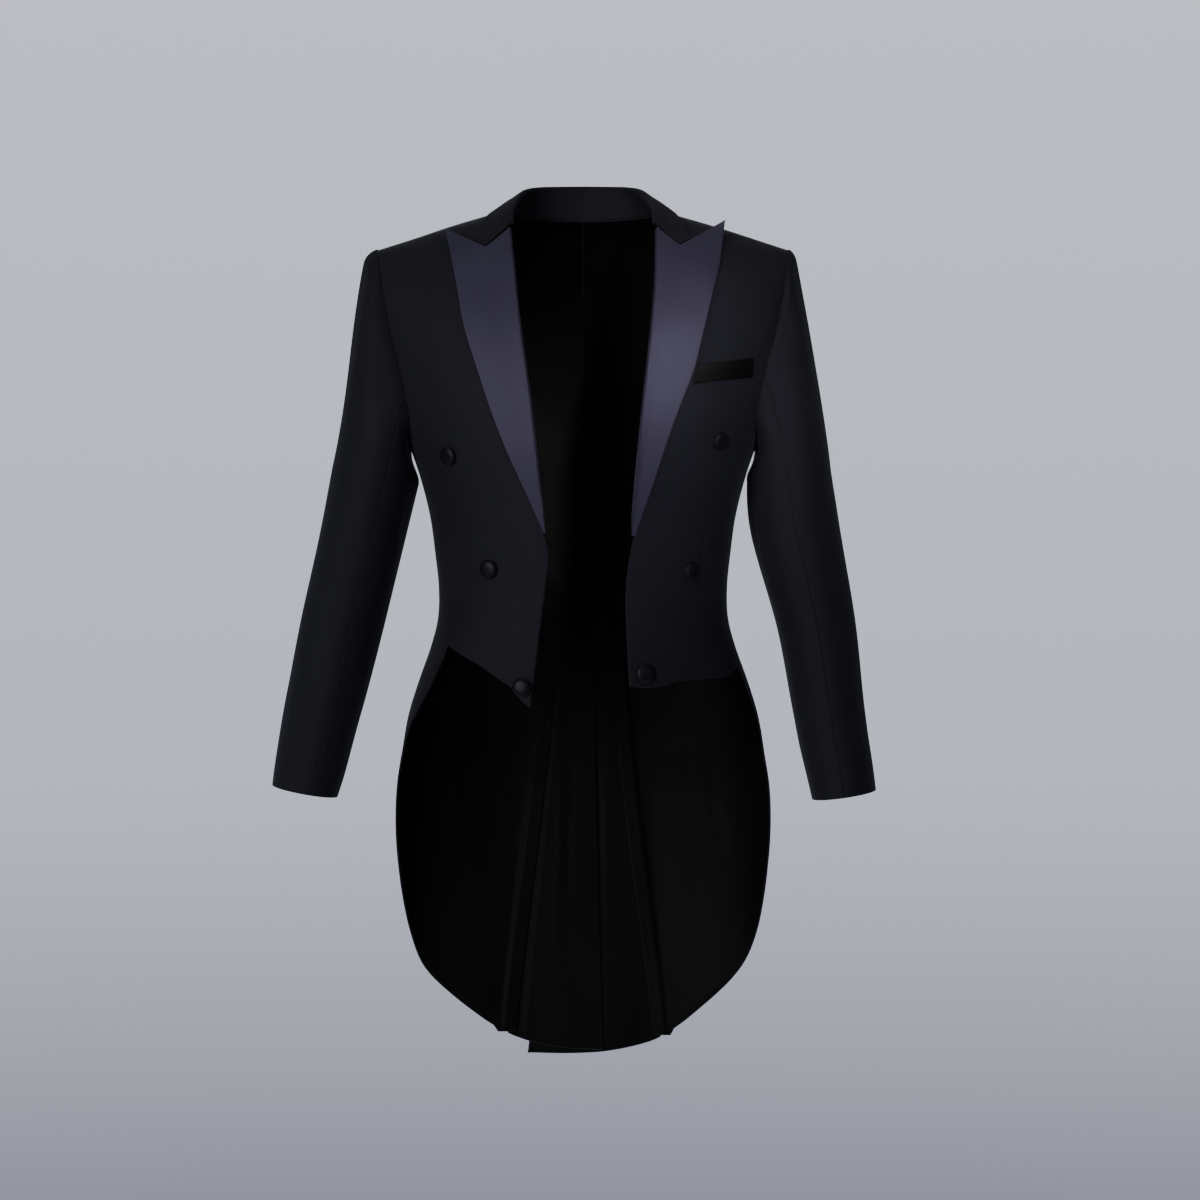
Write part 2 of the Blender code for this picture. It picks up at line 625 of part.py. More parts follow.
def back_grid(which, columns=9):
    """The half back: from the hem of the tail up to the neck, between side-back seam or armhole and the middle."""
    side = SIDES[which]
    seam = side_back_edge(which)
    first = np.concatenate([seam, edge(*armhole(BACK_TURNS[1:]))])
    heights = np.linspace(tail_hem(which, VENT_HEM_ANGLE), VENT_TOP - VENT_STEP, TAIL_ROWS)
    nape = seen_above(*BACK_NECK[-1])
    blade = (360.0 - BACK_TURNS[1:]) / (360.0 - SIDE_BACK_TURN)
    last_level = np.concatenate([
        level_of(heights), seam[TAIL_ROWS:, 1], nape[1] - (nape[1] - seam[-1, 1]) * blade,
    ])
    last_z = np.concatenate([heights, np.zeros(len(first) - TAIL_ROWS)])
    last = edge(vent_edge(which, last_z), last_level)

    share = np.linspace(0, 1, columns)
    hem_angle = first[0, 0] + (last[0, 0] - first[0, 0]) * share
    bottom = edge(hem_angle, level_of(tail_hem(which, hem_angle)))
    bottom[0], bottom[-1] = first[0], last[0]
    half = columns // 2
    neck = edge(*seen_above(*along(BACK_NECK, columns - half).T))
    neck[0] = edge(180 - angle_of(NECK_POINT, RIDGE_LEVEL), RIDGE_LEVEL)
    ridge = edge(np.linspace(first[-1, 0], neck[0, 0], half + 1)[:-1], RIDGE_LEVEL)
    top = np.concatenate([ridge, neck])
    top[-1] = last[-1]
    grid = patch(bottom, top, first, last, BACK_HOLD)
    lift = 0.0
    if which == "right":
        place = surface(grid[..., 0], grid[..., 1])
        at_top, at_hem = VENT_REACH["left"]
        down = np.clip((VENT_TOP - place[..., 2]) / (VENT_TOP - HEM_BOTTOM), 0, 1)
        clear = at_top + (at_hem - at_top) * down + VENT_CLEAR
        under = ease((clear + VENT_EASE - place[..., 0]) / VENT_EASE)
        lift = -LAP * under * ease((VENT_TOP + VENT_EASE + VENT_LEAD - place[..., 2]) / VENT_EASE)
    grid[..., 0] *= side
    return grid, lift


def tail_skirt_grid(which, columns=13):
    """The outer part of the tail: from its curved front edge to the side-back seam, where it tucks under."""
    side = SIDES[which]
    front_angle = TAIL_EDGE[which][0, 0]
    hem_rows = FRONT_HEM[which]
    edge_angle = abs(float(front_grid(which)[0, 0, 0]))
    seam = side_back_edge(which)[:TAIL_ROWS + 2]
    place = surface(seam[:, 0], seam[:, 1])

    def waist_level(angle):
        """The level of the waist seam: just under the front's lower edge, then straight on to the back."""
        ahead_share = np.clip((angle - edge_angle) / (SIDE_SEAM_ANGLE - edge_angle), 0, 1)
        ahead = smooth(hem_rows, np.interp(ahead_share, hem_rows[:, 0], np.arange(len(hem_rows))))[..., 1]
        behind_share = np.clip((angle - SIDE_SEAM_ANGLE) / (seam[-1, 0] - SIDE_SEAM_ANGLE), 0, 1)
        return level_of(ahead + (WAIST_BACK - ahead) * behind_share - STACK_GAP)

    pleat = []
    for reach, _ in PLEAT:
        column = edge(*seen_ahead(place[:, 0] + reach, place[:, 2], behind=True))
        column[-1, 1] = waist_level(column[-1, 0])
        pleat.append(column)
    last = pleat[0]

    share = np.linspace(0, 1, columns)
    top_angle = front_angle + (last[-1, 0] - front_angle) * share
    top = edge(top_angle, waist_level(top_angle))
    hem_angle = front_angle + (last[0, 0] - front_angle) * share
    bottom = edge(hem_angle, level_of(tail_hem(which, hem_angle)))
    first = edge(front_angle, bottom[0, 1] + (top[0, 1] - bottom[0, 1]) * np.linspace(0, 1, len(last)))
    bottom[-1], top[-1] = last[0], last[-1]
    grid = patch(bottom, top, first, last)
    grid = np.concatenate([grid, *[column[:, None] for column in pleat[1:]]], axis=1)
    lift = np.zeros(grid.shape[:2])
    lift[:, -len(PLEAT):] = [-LAP * share for _, share in PLEAT]
    grid[..., 0] *= side
    return grid, lift


def sleeve_frame(which, at):
    """Middle, outward and forward directions, axis and half sizes of the sleeve at a fractional row of ARM."""
    z, x, y, half_width, half_depth = np.moveaxis(smooth(ARM[which], at), -1, 0)
    middle = np.stack([x, y, z], -1)
    step, last = 0.05, len(ARM[which]) - 1
    ahead = smooth(ARM[which], np.clip(at + step, 0, last))
    before = smooth(ARM[which], np.clip(at - step, 0, last))
    axis = (ahead - before)[..., [1, 2, 0]]
    axis = axis / np.linalg.norm(axis, axis=-1, keepdims=True)
    out = np.array([1.0, 0.0, 0.0]) - axis * axis[..., :1]
    out = out / np.linalg.norm(out, axis=-1, keepdims=True)
    forward = np.cross(out, axis)
    forward = forward * np.where(forward[..., 1:2] > 0, -1, 1)
    level_cut = (np.asarray(at) / last)[..., None] ** 2
    forward = forward * (1 - level_cut) + np.array([0.0, -1.0, 0.0]) * level_cut
    return middle, out, forward, axis, half_width, half_depth


def sleeve_ring(which, at, turn):
    """A point of the sleeve: an ellipse across the arm, turn 0 outwards and 90 forwards."""
    middle, out, forward, axis, half_width, half_depth = sleeve_frame(which, at)
    turn = np.radians(turn)
    return (middle + out * (half_width * np.cos(turn))[..., None]
            + forward * (half_depth * np.sin(turn))[..., None]), axis


def sleeve_grid(which, turns):
    """The middle of the sleeve's wall, for the given turns round the arm, in rows from the armhole to the cuff.

    At each turn the cap leaves the armhole outwards, rounds over a quarter ellipse and runs down a cubic curve.
    """
    angle, level = armhole(turns % 360)
    start = body(angle, level, np.full_like(angle, WALL / 2 + STACK_GAP))
    arrive, axis = sleeve_ring(which, np.zeros_like(turns), turns)
    top = ((1 + np.cos(np.radians(turns))) / 2)[:, None]
    low = 1 - top
    lead = CAP_LEAD_TOP * top + CAP_LEAD_LOW * low
    lead[:, 1] -= CAP_SPREAD * np.sin(np.radians(turns))
    lead = lead / np.linalg.norm(lead, axis=-1, keepdims=True)
    run = arrive - start
    down = run / np.linalg.norm(run, axis=-1, keepdims=True)
    out_reach = CAP_OUT[which][0] * top + CAP_OUT[which][1] * low
    down_reach = CAP_DOWN[0] * top + CAP_DOWN[1] * low
    turn = np.radians(np.linspace(0, 90, CAP_ROWS)[:, None, None])
    head = start + lead * out_reach * np.sin(turn) + down * down_reach * (1 - np.cos(turn))
    begin = head[-1]
    length = np.linalg.norm(arrive - begin, axis=-1, keepdims=True)
    t = (np.linspace(0, 1, SLEEVE_ROWS)[1:-1] ** FALL_SPREAD)[:, None, None]
    fall = ((2 * t ** 3 - 3 * t ** 2 + 1) * begin + (t ** 3 - 2 * t ** 2 + t) * down * length
            + (3 * t ** 2 - 2 * t ** 3) * arrive + (t ** 3 - t ** 2) * axis * length)
    at = np.linspace(0, len(ARM[which]) - 1, ARM_ROWS)[:, None]
    arm, _ = sleeve_ring(which, at + 0 * turns, turns + 0 * at)
    return np.concatenate([head, fall, arm])


def grid_normal(points):
    """Outward directions of a grid, from its slopes along its columns and its rows."""
    out = np.cross(np.gradient(points, axis=1), np.gradient(points, axis=0))
    return out / np.linalg.norm(out, axis=-1, keepdims=True)


def mirror(points, side):
    """The same points on the wearer's right (side -1) or left (side 1)."""
    return points * np.array([side, 1.0, 1.0])


def add_sleeve(which):
    """The two halves of a sleeve, parted at the forearm and hindarm seams."""
    side = SIDES[which]
    every = np.concatenate([FRONT_TURNS[::-1], SIDE_TURNS[1:], BACK_TURNS[1:-1]])
    fore = every[FOREARM_COLUMN[which]]
    hind = every[HINDARM_COLUMN]
    under = every[(every >= fore) & (every <= hind)]
    top = np.concatenate([every[every >= hind] - 360, every[every <= fore]])
    step = 1.0
    for name, turns in (("top_sleeve_", top), ("under_sleeve_", under)):
        middle = sleeve_grid(which, turns)
        around = sleeve_grid(which, turns + step) - sleeve_grid(which, turns - step)
        out = np.cross(around, np.gradient(middle, axis=0))
        out = out / np.linalg.norm(out, axis=-1, keepdims=True)
        outer = pull_in(middle + out * WALL / 2)
        add_wall(name + which, mirror(outer, side), mirror(out, side), WOOL, side)


def lapel_place(x, z, lift):
    """The body's point at x and z as seen from the front, moved out by lift, for a stiff pressed lapel.

    Above the level LAPEL_LEAVE it leaves the shoulder and leans back by lean * rise * (1 - rise / (2 * stand)), which
    grows ever slower, so that the peak stands clear of the shoulder line.
    """
    _, level = seen_ahead(x, z)
    level = np.minimum(level, LAPEL_LEAVE)
    angle = angle_of(x, level)
    point = body(angle, level, lift)
    rise = np.maximum(z - surface(angle, level)[..., 2], 0)
    point[..., 1] += LAPEL_LEAN * rise * (1 - rise / (2 * LAPEL_STAND))
    point[..., 2] += rise
    return point


def lapel_grids(which, rows=17):
    """The lapel's outside and underside: a folded sheet on the front, rounded over at the roll line."""
    roll = along(FRONT_EDGE[which][BREAK_ROW:])
    outer_edge = along(LAPEL_EDGE[which])
    up = np.linspace(LAPEL_START, 1, rows)
    z = roll[0, 1] + (LAPEL_TOP - roll[0, 1]) * up
    inner = np.stack([np.interp(z, roll[:, 1], roll[:, 0]), z], -1)
    outer = np.stack([np.interp(up, np.linspace(0, 1, CURVE_STEPS), outer_edge[:, k]) for k in (0, 1)], -1)
    corner = np.array(GORGE_CORNER[which])
    span = outer[-1] - inner[-1]
    corner_share = (corner[0] - inner[-1, 0]) / span[0]
    shares = np.concatenate([np.linspace(0, corner_share, 4), np.linspace(corner_share, 1, 6)[1:]])
    fall = corner[1] - (inner[-1, 1] + span[1] * corner_share)
    notch = np.interp(shares, [0, corner_share, 1], [0, fall, 0])
    width = np.linalg.norm(outer - inner, axis=-1)
    scale = np.clip(width / LAPEL_NARROW, 0, 1)[:, None]

    flat = inner[:, None] + (outer - inner)[:, None] * shares[None, :, None]
    flat[..., 1] += notch[None] * (up ** NOTCH_HOLD)[:, None]

    def layer(round_roll, lift_inner, lift_outer):
        """One side of the lapel: its points round the roll line, then its flat part."""
        roll_part = np.repeat(inner[:, None], len(round_roll), axis=1)
        roll_part[..., 0] += round_roll[:, 0] * scale
        points = np.concatenate([roll_part, flat[:, 1:]], axis=1)
        lift_sheet = lift_inner + (lift_outer - lift_inner) * ease(shares[1:] * LAPEL_SPREAD)
        lift = np.concatenate([round_roll[:, 1] * scale, lift_sheet + 0 * scale], axis=1)
        return lapel_place(points[..., 0], points[..., 1], lift)

    gap = LAPEL_GAP + LAPEL_GAP_TOP * ease((z - LAPEL_GAP_START) / LAPEL_GAP_EASE)[:, None]
    over = layer(ROLL_OVER, gap + WALL + LAPEL_ROLL, gap + WALL)
    under = layer(ROLL_UNDER, gap, gap)
    return over, under


def add_layers(name, over, under, finish, side):
    """A closed solid between two grids of the same size."""
    faces = wall_faces(*over.shape[:2])
    if side < 0:
        faces = faces[:, ::-1]
    add_solid(name, np.concatenate([over.reshape(-1, 3), under.reshape(-1, 3)]), faces, finish)


def collar_grid(which, rows=13):
    """The middle of half the collar's wall: up the stand from its seam, over the fold, down the fall to its edge."""
    at = np.linspace(0, len(COLLAR) - 1, rows)
    table = smooth(COLLAR, at)
    fold = table[:, :3]
    foot = body(*seen_above(table[:, 3], table[:, 4]), np.full(rows, WALL / 2 + COLLAR_GAP))
    rim = body(*seen_above(table[:, 5], table[:, 6]), np.full(rows, WALL / 2 + COLLAR_GAP))
    out = rim - fold
    out = out / np.linalg.norm(out, axis=-1, keepdims=True)
    lift = np.cross(out, np.gradient(fold, axis=0))
    lift = lift / np.linalg.norm(lift, axis=-1, keepdims=True)
    lift = lift * np.where(lift[:, 2:3] < 0, -1, 1)
    inside = fold - lift * COLLAR_FOLD_RADIUS
    outside = fold + lift * COLLAR_FOLD_RADIUS
    columns = [foot + (inside - foot) * share for share in STAND_SHARES]
    for swing in FOLD_SWINGS:
        turn = math.radians(swing)
        columns.append(fold - (lift * math.cos(turn) + out * math.sin(turn)) * COLLAR_FOLD_RADIUS)
    for share in FALL_SHARES:
        bulge = COLLAR_BULGE * 4 * share * (1 - share)
        columns.append(outside + (rim - outside) * share + lift * bulge)
    grid = np.stack(columns, axis=1)

    line = np.array([GORGE_TOP, GORGE_CORNER[which], COLLAR_CORNER[which]])
    x, z = (np.interp(FALL_SHARES, (0.0, CORNER_SHARE, 1.0), line[:, k]) for k in (0, 1))
    gorge = body(*seen_ahead(x, z + GORGE_GAP), WALL / 2 + LAPEL_GAP + LAPEL_GAP_TOP)
    weight = np.clip(1 - at / GORGE_ROWS, 0, 1)[:, None, None] ** GORGE_HOLD
    fall = len(FALL_SHARES)
    grid[:, -fall + 1:] += ((gorge - grid[0, -fall:]) * weight)[:, 1:]
    return grid


def add_collar():
    """The collar: both halves joined at the nape into one folded sheet."""
    half = collar_grid("left")
    whole = np.concatenate([half, mirror(collar_grid("right")[::-1], -1.0)[1:]])
    out = grid_normal(whole)
    add_wall("collar", whole + out * WALL / 2, out, WOOL)


def add_button(name, x, z, side, behind=False):
    """A covered button: a low dome turned about the cloth's outward direction."""
    angle, level = seen_ahead(x, z, behind)
    angle = side * angle
    out = body_normal(angle, level)
    foot = body(angle, level, np.full_like(angle, STACK_GAP))
    across = np.cross(out, [0.0, 0.0, 1.0])
    across = across / np.linalg.norm(across)
    up = np.cross(across, out)
    turn = np.linspace(0, 2 * math.pi, BUTTON_SIDES, endpoint=False)
    wheel = np.cos(turn)[:, None] * across + np.sin(turn)[:, None] * up
    rings = [foot + wheel * BUTTON_RADIUS * r + out * BUTTON_HEIGHT * h for r, h in BUTTON_DOME]
    points = np.concatenate([*rings, [foot], [foot + out * BUTTON_HEIGHT]])
    top = (len(BUTTON_DOME) - 1) * BUTTON_SIDES
    bottom_middle, top_middle = len(points) - 2, len(points) - 1
    faces = []
    for k in range(BUTTON_SIDES):
        after = (k + 1) % BUTTON_SIDES
        faces.append((after, k, bottom_middle))
        for low in range(0, top, BUTTON_SIDES):
            faces.append((low + k, low + after, low + BUTTON_SIDES + after, low + BUTTON_SIDES + k))
        faces.append((top + k, top + after, top_middle))
    add_solid(name, points, [face[::-1] for face in faces], BUTTON_CLOTH)


def add_welt():
    """The breast pocket's welt: a strip folded double, flat on the wearer's left front."""
    across = np.linspace(0, 1, WELT_COLUMNS)[None, :, None]
    up = np.linspace(0, 1, WELT_ROWS)[:, None, None]
    lower = np.array(WELT_LOWER_INNER) * (1 - across) + np.array(WELT_LOWER_OUTER) * across
    upper = np.array(WELT_UPPER_INNER) * (1 - across) + np.array(WELT_UPPER_OUTER) * across
    flat = lower * (1 - up) + upper * up
    angle, level = seen_ahead(flat[..., 0], flat[..., 1])
    under = body(angle, level, np.full_like(angle, STACK_GAP))
    over = body(angle, level, np.full_like(angle, STACK_GAP + WELT_THICKNESS))
    add_layers("breast_welt", over, under, SATIN, 1.0)


for which, side in SIDES.items():
    panel("front_" + which, front_grid(which), side)
    panel("side_body_" + which, side_body_grid(which), side)
    grid, lift = back_grid(which)
    panel("back_" + which, grid, side, lift=lift)
    grid, lift = tail_skirt_grid(which)
    panel("tail_skirt_" + which, grid, side, lift=lift)
    add_sleeve(which)
    over, under = lapel_grids(which)
    add_layers("lapel_" + which, mirror(over, side), mirror(under, side), SATIN, side)
    for number, (x, z) in enumerate(FRONT_BUTTONS[which], start=1):
        add_button(f"front_button_{which}_{number}", x, z, side)
    add_button("waist_button_" + which, float(SIDE_BACK[5, 0]), WAIST_BACK - WAIST_BUTTON_OUT, side, behind=True)
add_collar()
add_welt()
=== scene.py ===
"""The looks of a man's black evening tailcoat with satin lapels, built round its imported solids.

Metres, +Z up. The front faces -Y and +X is the wearer's left. The origin is in the neck opening, level with
the tops of the shoulder seams. Each panel is a thin shell of cloth on its solid's form, with rounded edges
and creases.
"""

import math

import bpy
import numpy as np
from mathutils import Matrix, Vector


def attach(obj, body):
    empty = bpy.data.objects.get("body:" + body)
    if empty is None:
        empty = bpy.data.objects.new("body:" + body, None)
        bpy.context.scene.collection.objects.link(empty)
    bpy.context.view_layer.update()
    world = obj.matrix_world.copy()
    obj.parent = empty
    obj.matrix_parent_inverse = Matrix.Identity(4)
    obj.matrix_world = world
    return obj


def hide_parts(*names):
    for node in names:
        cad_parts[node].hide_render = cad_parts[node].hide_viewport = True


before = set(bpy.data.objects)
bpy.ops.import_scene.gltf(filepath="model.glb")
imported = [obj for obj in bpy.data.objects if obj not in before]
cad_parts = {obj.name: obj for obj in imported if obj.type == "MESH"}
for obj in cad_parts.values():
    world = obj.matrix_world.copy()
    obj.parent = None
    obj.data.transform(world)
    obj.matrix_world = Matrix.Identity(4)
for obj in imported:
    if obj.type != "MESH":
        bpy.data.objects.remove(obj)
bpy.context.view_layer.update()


# The two halves of the back, cut in one with the middle of the tails, of black worsted wool lined with satin.
# They are sewn together down the middle as far as the vent, where the wearer's left half laps over the right.

CLOTH = 0.0022
SEAM_OVERLAP = 0.0002
STACK_GAP = 0.0005
LAP = CLOTH + 0.0014
SHOULDER_SLOPE = math.tan(math.radians(18.0))
SHOULDER_START = 0.085
SHOULDER_SOFTNESS = 0.02
SHOULDER_TIP = 0.2295
NECK_POINT = 0.088
# Body sections, from the hem to the shoulder ridge: height, half width, depth in front, depth behind,
# squareness, share of the shoulders' slope
SECTIONS = np.array([
    (-1.010, 0.2160, 0.100, 0.124, 2.5, 0.00),
    (-0.900, 0.2170, 0.102, 0.128, 2.5, 0.00),
    (-0.800, 0.2170, 0.104, 0.131, 2.5, 0.00),
    (-0.710, 0.2150, 0.107, 0.133, 2.4, 0.00),
    (-0.655, 0.2110, 0.110, 0.131, 2.4, 0.00),
    (-0.610, 0.2030, 0.111, 0.126, 2.3, 0.00),
    (-0.570, 0.1960, 0.112, 0.119, 2.3, 0.00),
    (-0.530, 0.1840, 0.112, 0.109, 2.3, 0.00),
    (-0.490, 0.1700, 0.112, 0.099, 2.3, 0.00),
    (-0.458, 0.1620, 0.111, 0.093, 2.3, 0.00),
    (-0.424, 0.1610, 0.112, 0.091, 2.3, 0.00),
    (-0.386, 0.1650, 0.115, 0.095, 2.3, 0.00),
    (-0.345, 0.1710, 0.120, 0.104, 2.3, 0.00),
    (-0.302, 0.1820, 0.125, 0.113, 2.3, 0.00),
    (-0.262, 0.1950, 0.127, 0.119, 2.3, 0.03),
    (-0.215, 0.2085, 0.124, 0.121, 2.4, 0.12),
    (-0.165, 0.2200, 0.116, 0.119, 2.4, 0.30),
    (-0.118, 0.2285, 0.103, 0.115, 2.5, 0.52),
    (-0.078, 0.2335, 0.086, 0.106, 2.7, 0.74),
    (-0.045, 0.2355, 0.066, 0.092, 3.1, 0.90),
    (-0.021, 0.2360, 0.045, 0.072, 3.5, 0.98),
    (-0.006, 0.2360, 0.023, 0.043, 3.8, 1.00),
    (0.000, 0.2360, 0.000, 0.000, 3.8, 1.00),
])
TOP_LEVEL = len(SECTIONS) - 1.0
RIDGE_LEVEL = TOP_LEVEL - 0.01
RIDGE_SOFTNESS = 0.5
CHEST_LEVEL = 14.0
CURVE_STEPS = 400
HALVINGS = 40
TINY = 1e-6
RIM_TURNS = (45, 90, 135)

# The armhole, going round by the front, as seen from the side: turn in degrees, y, z
ARMHOLE = np.array([
    (0, 0.000, -0.0480),
    (25, -0.020, -0.0600),
    (50, -0.0375, -0.0920),
    (75, -0.049, -0.1450),
    (100, -0.057, -0.2050),
    (125, -0.051, -0.2420),
    (150, -0.028, -0.2635),
    (180, 0.004, -0.2700),
    (210, 0.034, -0.2580),
    (235, 0.057, -0.2300),
    (260, 0.068, -0.1870),
    (285, 0.067, -0.1360),
    (310, 0.056, -0.0900),
    (335, 0.031, -0.0600),
    (360, 0.000, -0.0480),
])
SHOULDER_TIP_TURNS = 12.0
SIDE_SEAM_TURN = 186.0
SIDE_BACK_TURN = 268.0
BACK_TURNS = 360.0 - (360.0 - SIDE_BACK_TURN) * np.linspace(1.0, 0.0, 31) ** 1.3
# The front edge of each tail, from the waist seam to the middle of the hem: angle round the body, height
TAIL_EDGE = {
    "right": np.array([
        (58, -0.502), (62, -0.535), (68, -0.562), (76, -0.586), (88, -0.618), (97, -0.655), (104, -0.715),
        (111, -0.762), (119, -0.808), (129, -0.858), (139, -0.893), (149, -0.923), (160, -0.945),
        (172, -0.957), (184, -0.960), (198, -0.960),
    ]),
    "left": np.array([
        (72, -0.512), (76, -0.535), (81, -0.562), (86, -0.590), (92, -0.624), (98, -0.660), (104, -0.715),
        (111, -0.762), (119, -0.808), (129, -0.858), (139, -0.895), (149, -0.926), (160, -0.950),
        (172, -0.9615), (184, -0.9645), (198, -0.9640),
    ]),
}

# The side-back seam, from the armhole to the hem, as seen from behind
SIDE_BACK = np.array([
    (0.1400, -0.2150), (0.1080, -0.2650), (0.0790, -0.3200), (0.0580, -0.3750), (0.0460, -0.4250),
    (0.0420, -0.4600), (0.0450, -0.5300), (0.0560, -0.6400), (0.0690, -0.7600), (0.0820, -0.8800),
    (0.0930, -0.9900),
])
WAIST_BACK = -0.462
# The back neckline, from the shoulder seam to the nape, as seen from above
BACK_NECK = np.array([(0.088, 0.0), (0.0815, 0.019), (0.066, 0.0345), (0.035, 0.046), (0.0, 0.049)])

# The vent: how far each half reaches past the middle at its top and at the hem
VENT_TOP = -0.480
VENT_STEP = 0.0015
VENT_REACH = {"right": (0.010, 0.022), "left": (0.014, 0.0627)}
VENT_HEM_ANGLE = 190.0
VENT_EASE = 0.012
VENT_LEAD = 0.004
VENT_CLEAR = 0.006
HEM_BOTTOM = -0.970
BACK_HOLD = 3.0
TAIL_ROWS = 70
SIDE_ROWS = 53
BACK_COLUMNS = 57
# Long soft folds of the tails: angle, width in degrees, depth at the hem, height where the fold starts
TAIL_FOLDS = np.array([
    (-163, 7.0, 0.006, -0.60),
    (-147, 6.0, -0.005, -0.64),
    (-128, 8.0, 0.007, -0.56),
    (-108, 8.0, -0.004, -0.52),
    (160, 6.0, 0.007, -0.62),
    (144, 7.0, -0.005, -0.60),
    (125, 8.0, 0.006, -0.58),
    (106, 8.0, -0.004, -0.54),
])
SIDES = {"right": -1.0, "left": 1.0}

# Creases of the back: from x, z to x, z, then bow, width, and how far it stands out. x is the distance from
# the middle, so a row serves both halves.
BACK_CREASES = np.array([
    (0.150, -0.150, 0.095, -0.300, 0.010, 0.0120, -0.0016),
    (0.125, -0.110, 0.060, -0.230, -0.006, 0.0150, -0.0010),
    (0.085, -0.395, 0.004, -0.432, 0.003, 0.0070, -0.0013),
    (0.070, -0.425, 0.010, -0.447, -0.002, 0.0050, -0.0009),
    (0.055, -0.350, 0.002, -0.385, 0.004, 0.0080, -0.0008),
    (0.052, -0.018, 0.012, -0.062, 0.004, 0.0080, -0.0010),
    (0.030, -0.520, 0.036, -0.900, 0.006, 0.0075, -0.0012),
    (0.012, -0.560, 0.016, -0.820, -0.004, 0.0060, 0.0009),
])
# How many points it takes for a panel's creases to fade in from its seams
BODY_FADE = 7
SETTLE_DEPTH = 0.0005
# The cloth's long waves: rate across, rate up, start, share
SETTLE_WAVES = ((41, 13, 1.3, 0.5), (-19, 37, 0.4, 0.3), (83, 29, 2.1, 0.2))
WEAVE_INPUTS = ("Rib scale", "Rib share", "Thread scale", "Draw out")


def smooth(rows, at):
    """Reads a table at fractional row numbers, on a smooth curve that passes through every row."""
    rows, at = np.asarray(rows, float), np.asarray(at, float)
    low = np.clip(np.floor(at).astype(int), 0, len(rows) - 2)
    part = (at - low)[..., None]
    before, start, end, after = (rows[np.clip(low + k, 0, len(rows) - 1)] for k in (-1, 0, 1, 2))
    leave, arrive = (end - before) / 2, (after - start) / 2
    cubic = 2 * start - 2 * end + leave + arrive
    square = 3 * end - 3 * start - 2 * leave - arrive
    return ((cubic * part + square) * part + leave) * part + start


def read_at(rows, first):
    """Reads the smooth curve through a table's other columns where its first column has the given values."""
    return smooth(rows[:, 1:], np.interp(first, rows[:, 0], np.arange(len(rows))))


def sections(level):
    """The body section of a level, one array for each of the table's columns."""
    return np.moveaxis(smooth(SECTIONS, level), -1, 0)


def unit(vectors):
    """The same directions with a length of 1."""
    return vectors / np.linalg.norm(vectors, axis=-1, keepdims=True)


def along(rows, count=CURVE_STEPS):
    """Points evenly spaced along the smooth curve through a table's rows."""
    fine = smooth(rows, np.linspace(0, len(rows) - 1, CURVE_STEPS))
    length = np.append(0, np.cumsum(np.linalg.norm(np.diff(fine, axis=0), axis=1)))
    at = np.linspace(0, length[-1], count)
    return np.stack([np.interp(at, length, column) for column in fine.T], axis=-1)


def shoulder_drop(x):
    """How far the shoulders' slope lowers a point, which grows evenly from the neck to the shoulder's tip."""
    past = np.abs(x) - SHOULDER_START
    return SHOULDER_SLOPE * (past + np.sqrt(past ** 2 + SHOULDER_SOFTNESS ** 2)) / 2


def body(angle, level, lift):
    """The point of the body surface at an angle in degrees and a level, moved out by lift."""
    return surface(angle, level) + np.asarray(lift)[..., None] * body_normal(angle, level)


def surface(angle, level):
    """The bare body surface at an angle in degrees and a level.

    A section is a superellipse. Its radius at an angle is (|sin|^n + |cos|^n)^(-1/n) of half width and depth.
    """
    height, half_width, front, back, squareness, slope = sections(level)
    turn = np.radians(angle)
    across, ahead = np.sin(turn), np.cos(turn)
    radius = (np.abs(across) ** squareness + np.abs(ahead) ** squareness) ** (-1 / squareness)
    x = half_width * across * radius
    y = -np.where(ahead > 0, front, back) * ahead * radius
    swell = 1 + tail_fold(angle, height) / np.hypot(x, y + TINY)
    return np.stack([x * swell, y * swell, height - shoulder_drop(x) * slope], axis=-1)


def tail_fold(angle, height):
    """How far the tails' folds stand out: ridges and troughs, each a bell across that deepens downwards.

    Each adds depth * down^1.5 * exp(-(past / width)^2). down is 0 where the fold starts and 1 at the hem.
    """
    out = 0.0 * height
    for middle, width, depth, start in TAIL_FOLDS:
        past = (angle - middle + 180) % 360 - 180
        down = np.clip((start - height) / (start - HEM_BOTTOM), 0, 1.1)
        out = out + depth * down ** 1.5 * np.exp(-((past / width) ** 2))
    return out


def body_normal(angle, level):
    """The outward direction of the body surface, from its slopes round and up the body."""
    round_step, up_step = 0.2, 0.01
    level = np.clip(level, up_step, TOP_LEVEL - up_step)
    around = surface(angle + round_step, level) - surface(angle - round_step, level)
    upward = surface(angle, level + up_step) - surface(angle, level - up_step)
    out = unit(np.cross(around, upward))
    out[..., 1] *= ease((RIDGE_LEVEL - level) / RIDGE_SOFTNESS)
    return unit(out)


def halve(goes_up, shape, lowest=0.0):
    """Finds by halving the level at which a rising quantity passes zero, for a whole array at once."""
    low, high = np.full(shape, lowest), np.full(shape, TOP_LEVEL)
    for _ in range(HALVINGS):
        middle = (low + high) / 2
        above = goes_up(middle) > 0
        high = np.where(above, middle, high)
        low = np.where(above, low, middle)
    return (low + high) / 2


def angle_of(x, level, behind=False):
    """The angle at which the section of a level reaches x, on its front or its back half."""
    _, half_width, _, _, squareness, _ = sections(level)
    across = np.clip(np.abs(x) / half_width, 0, 1)
    ahead = (1 - across ** squareness) ** (1 / squareness)
    angle = np.degrees(np.arctan2(across, ahead))
    angle = 180 - angle if behind else angle
    return np.where(x < 0, -angle, angle)


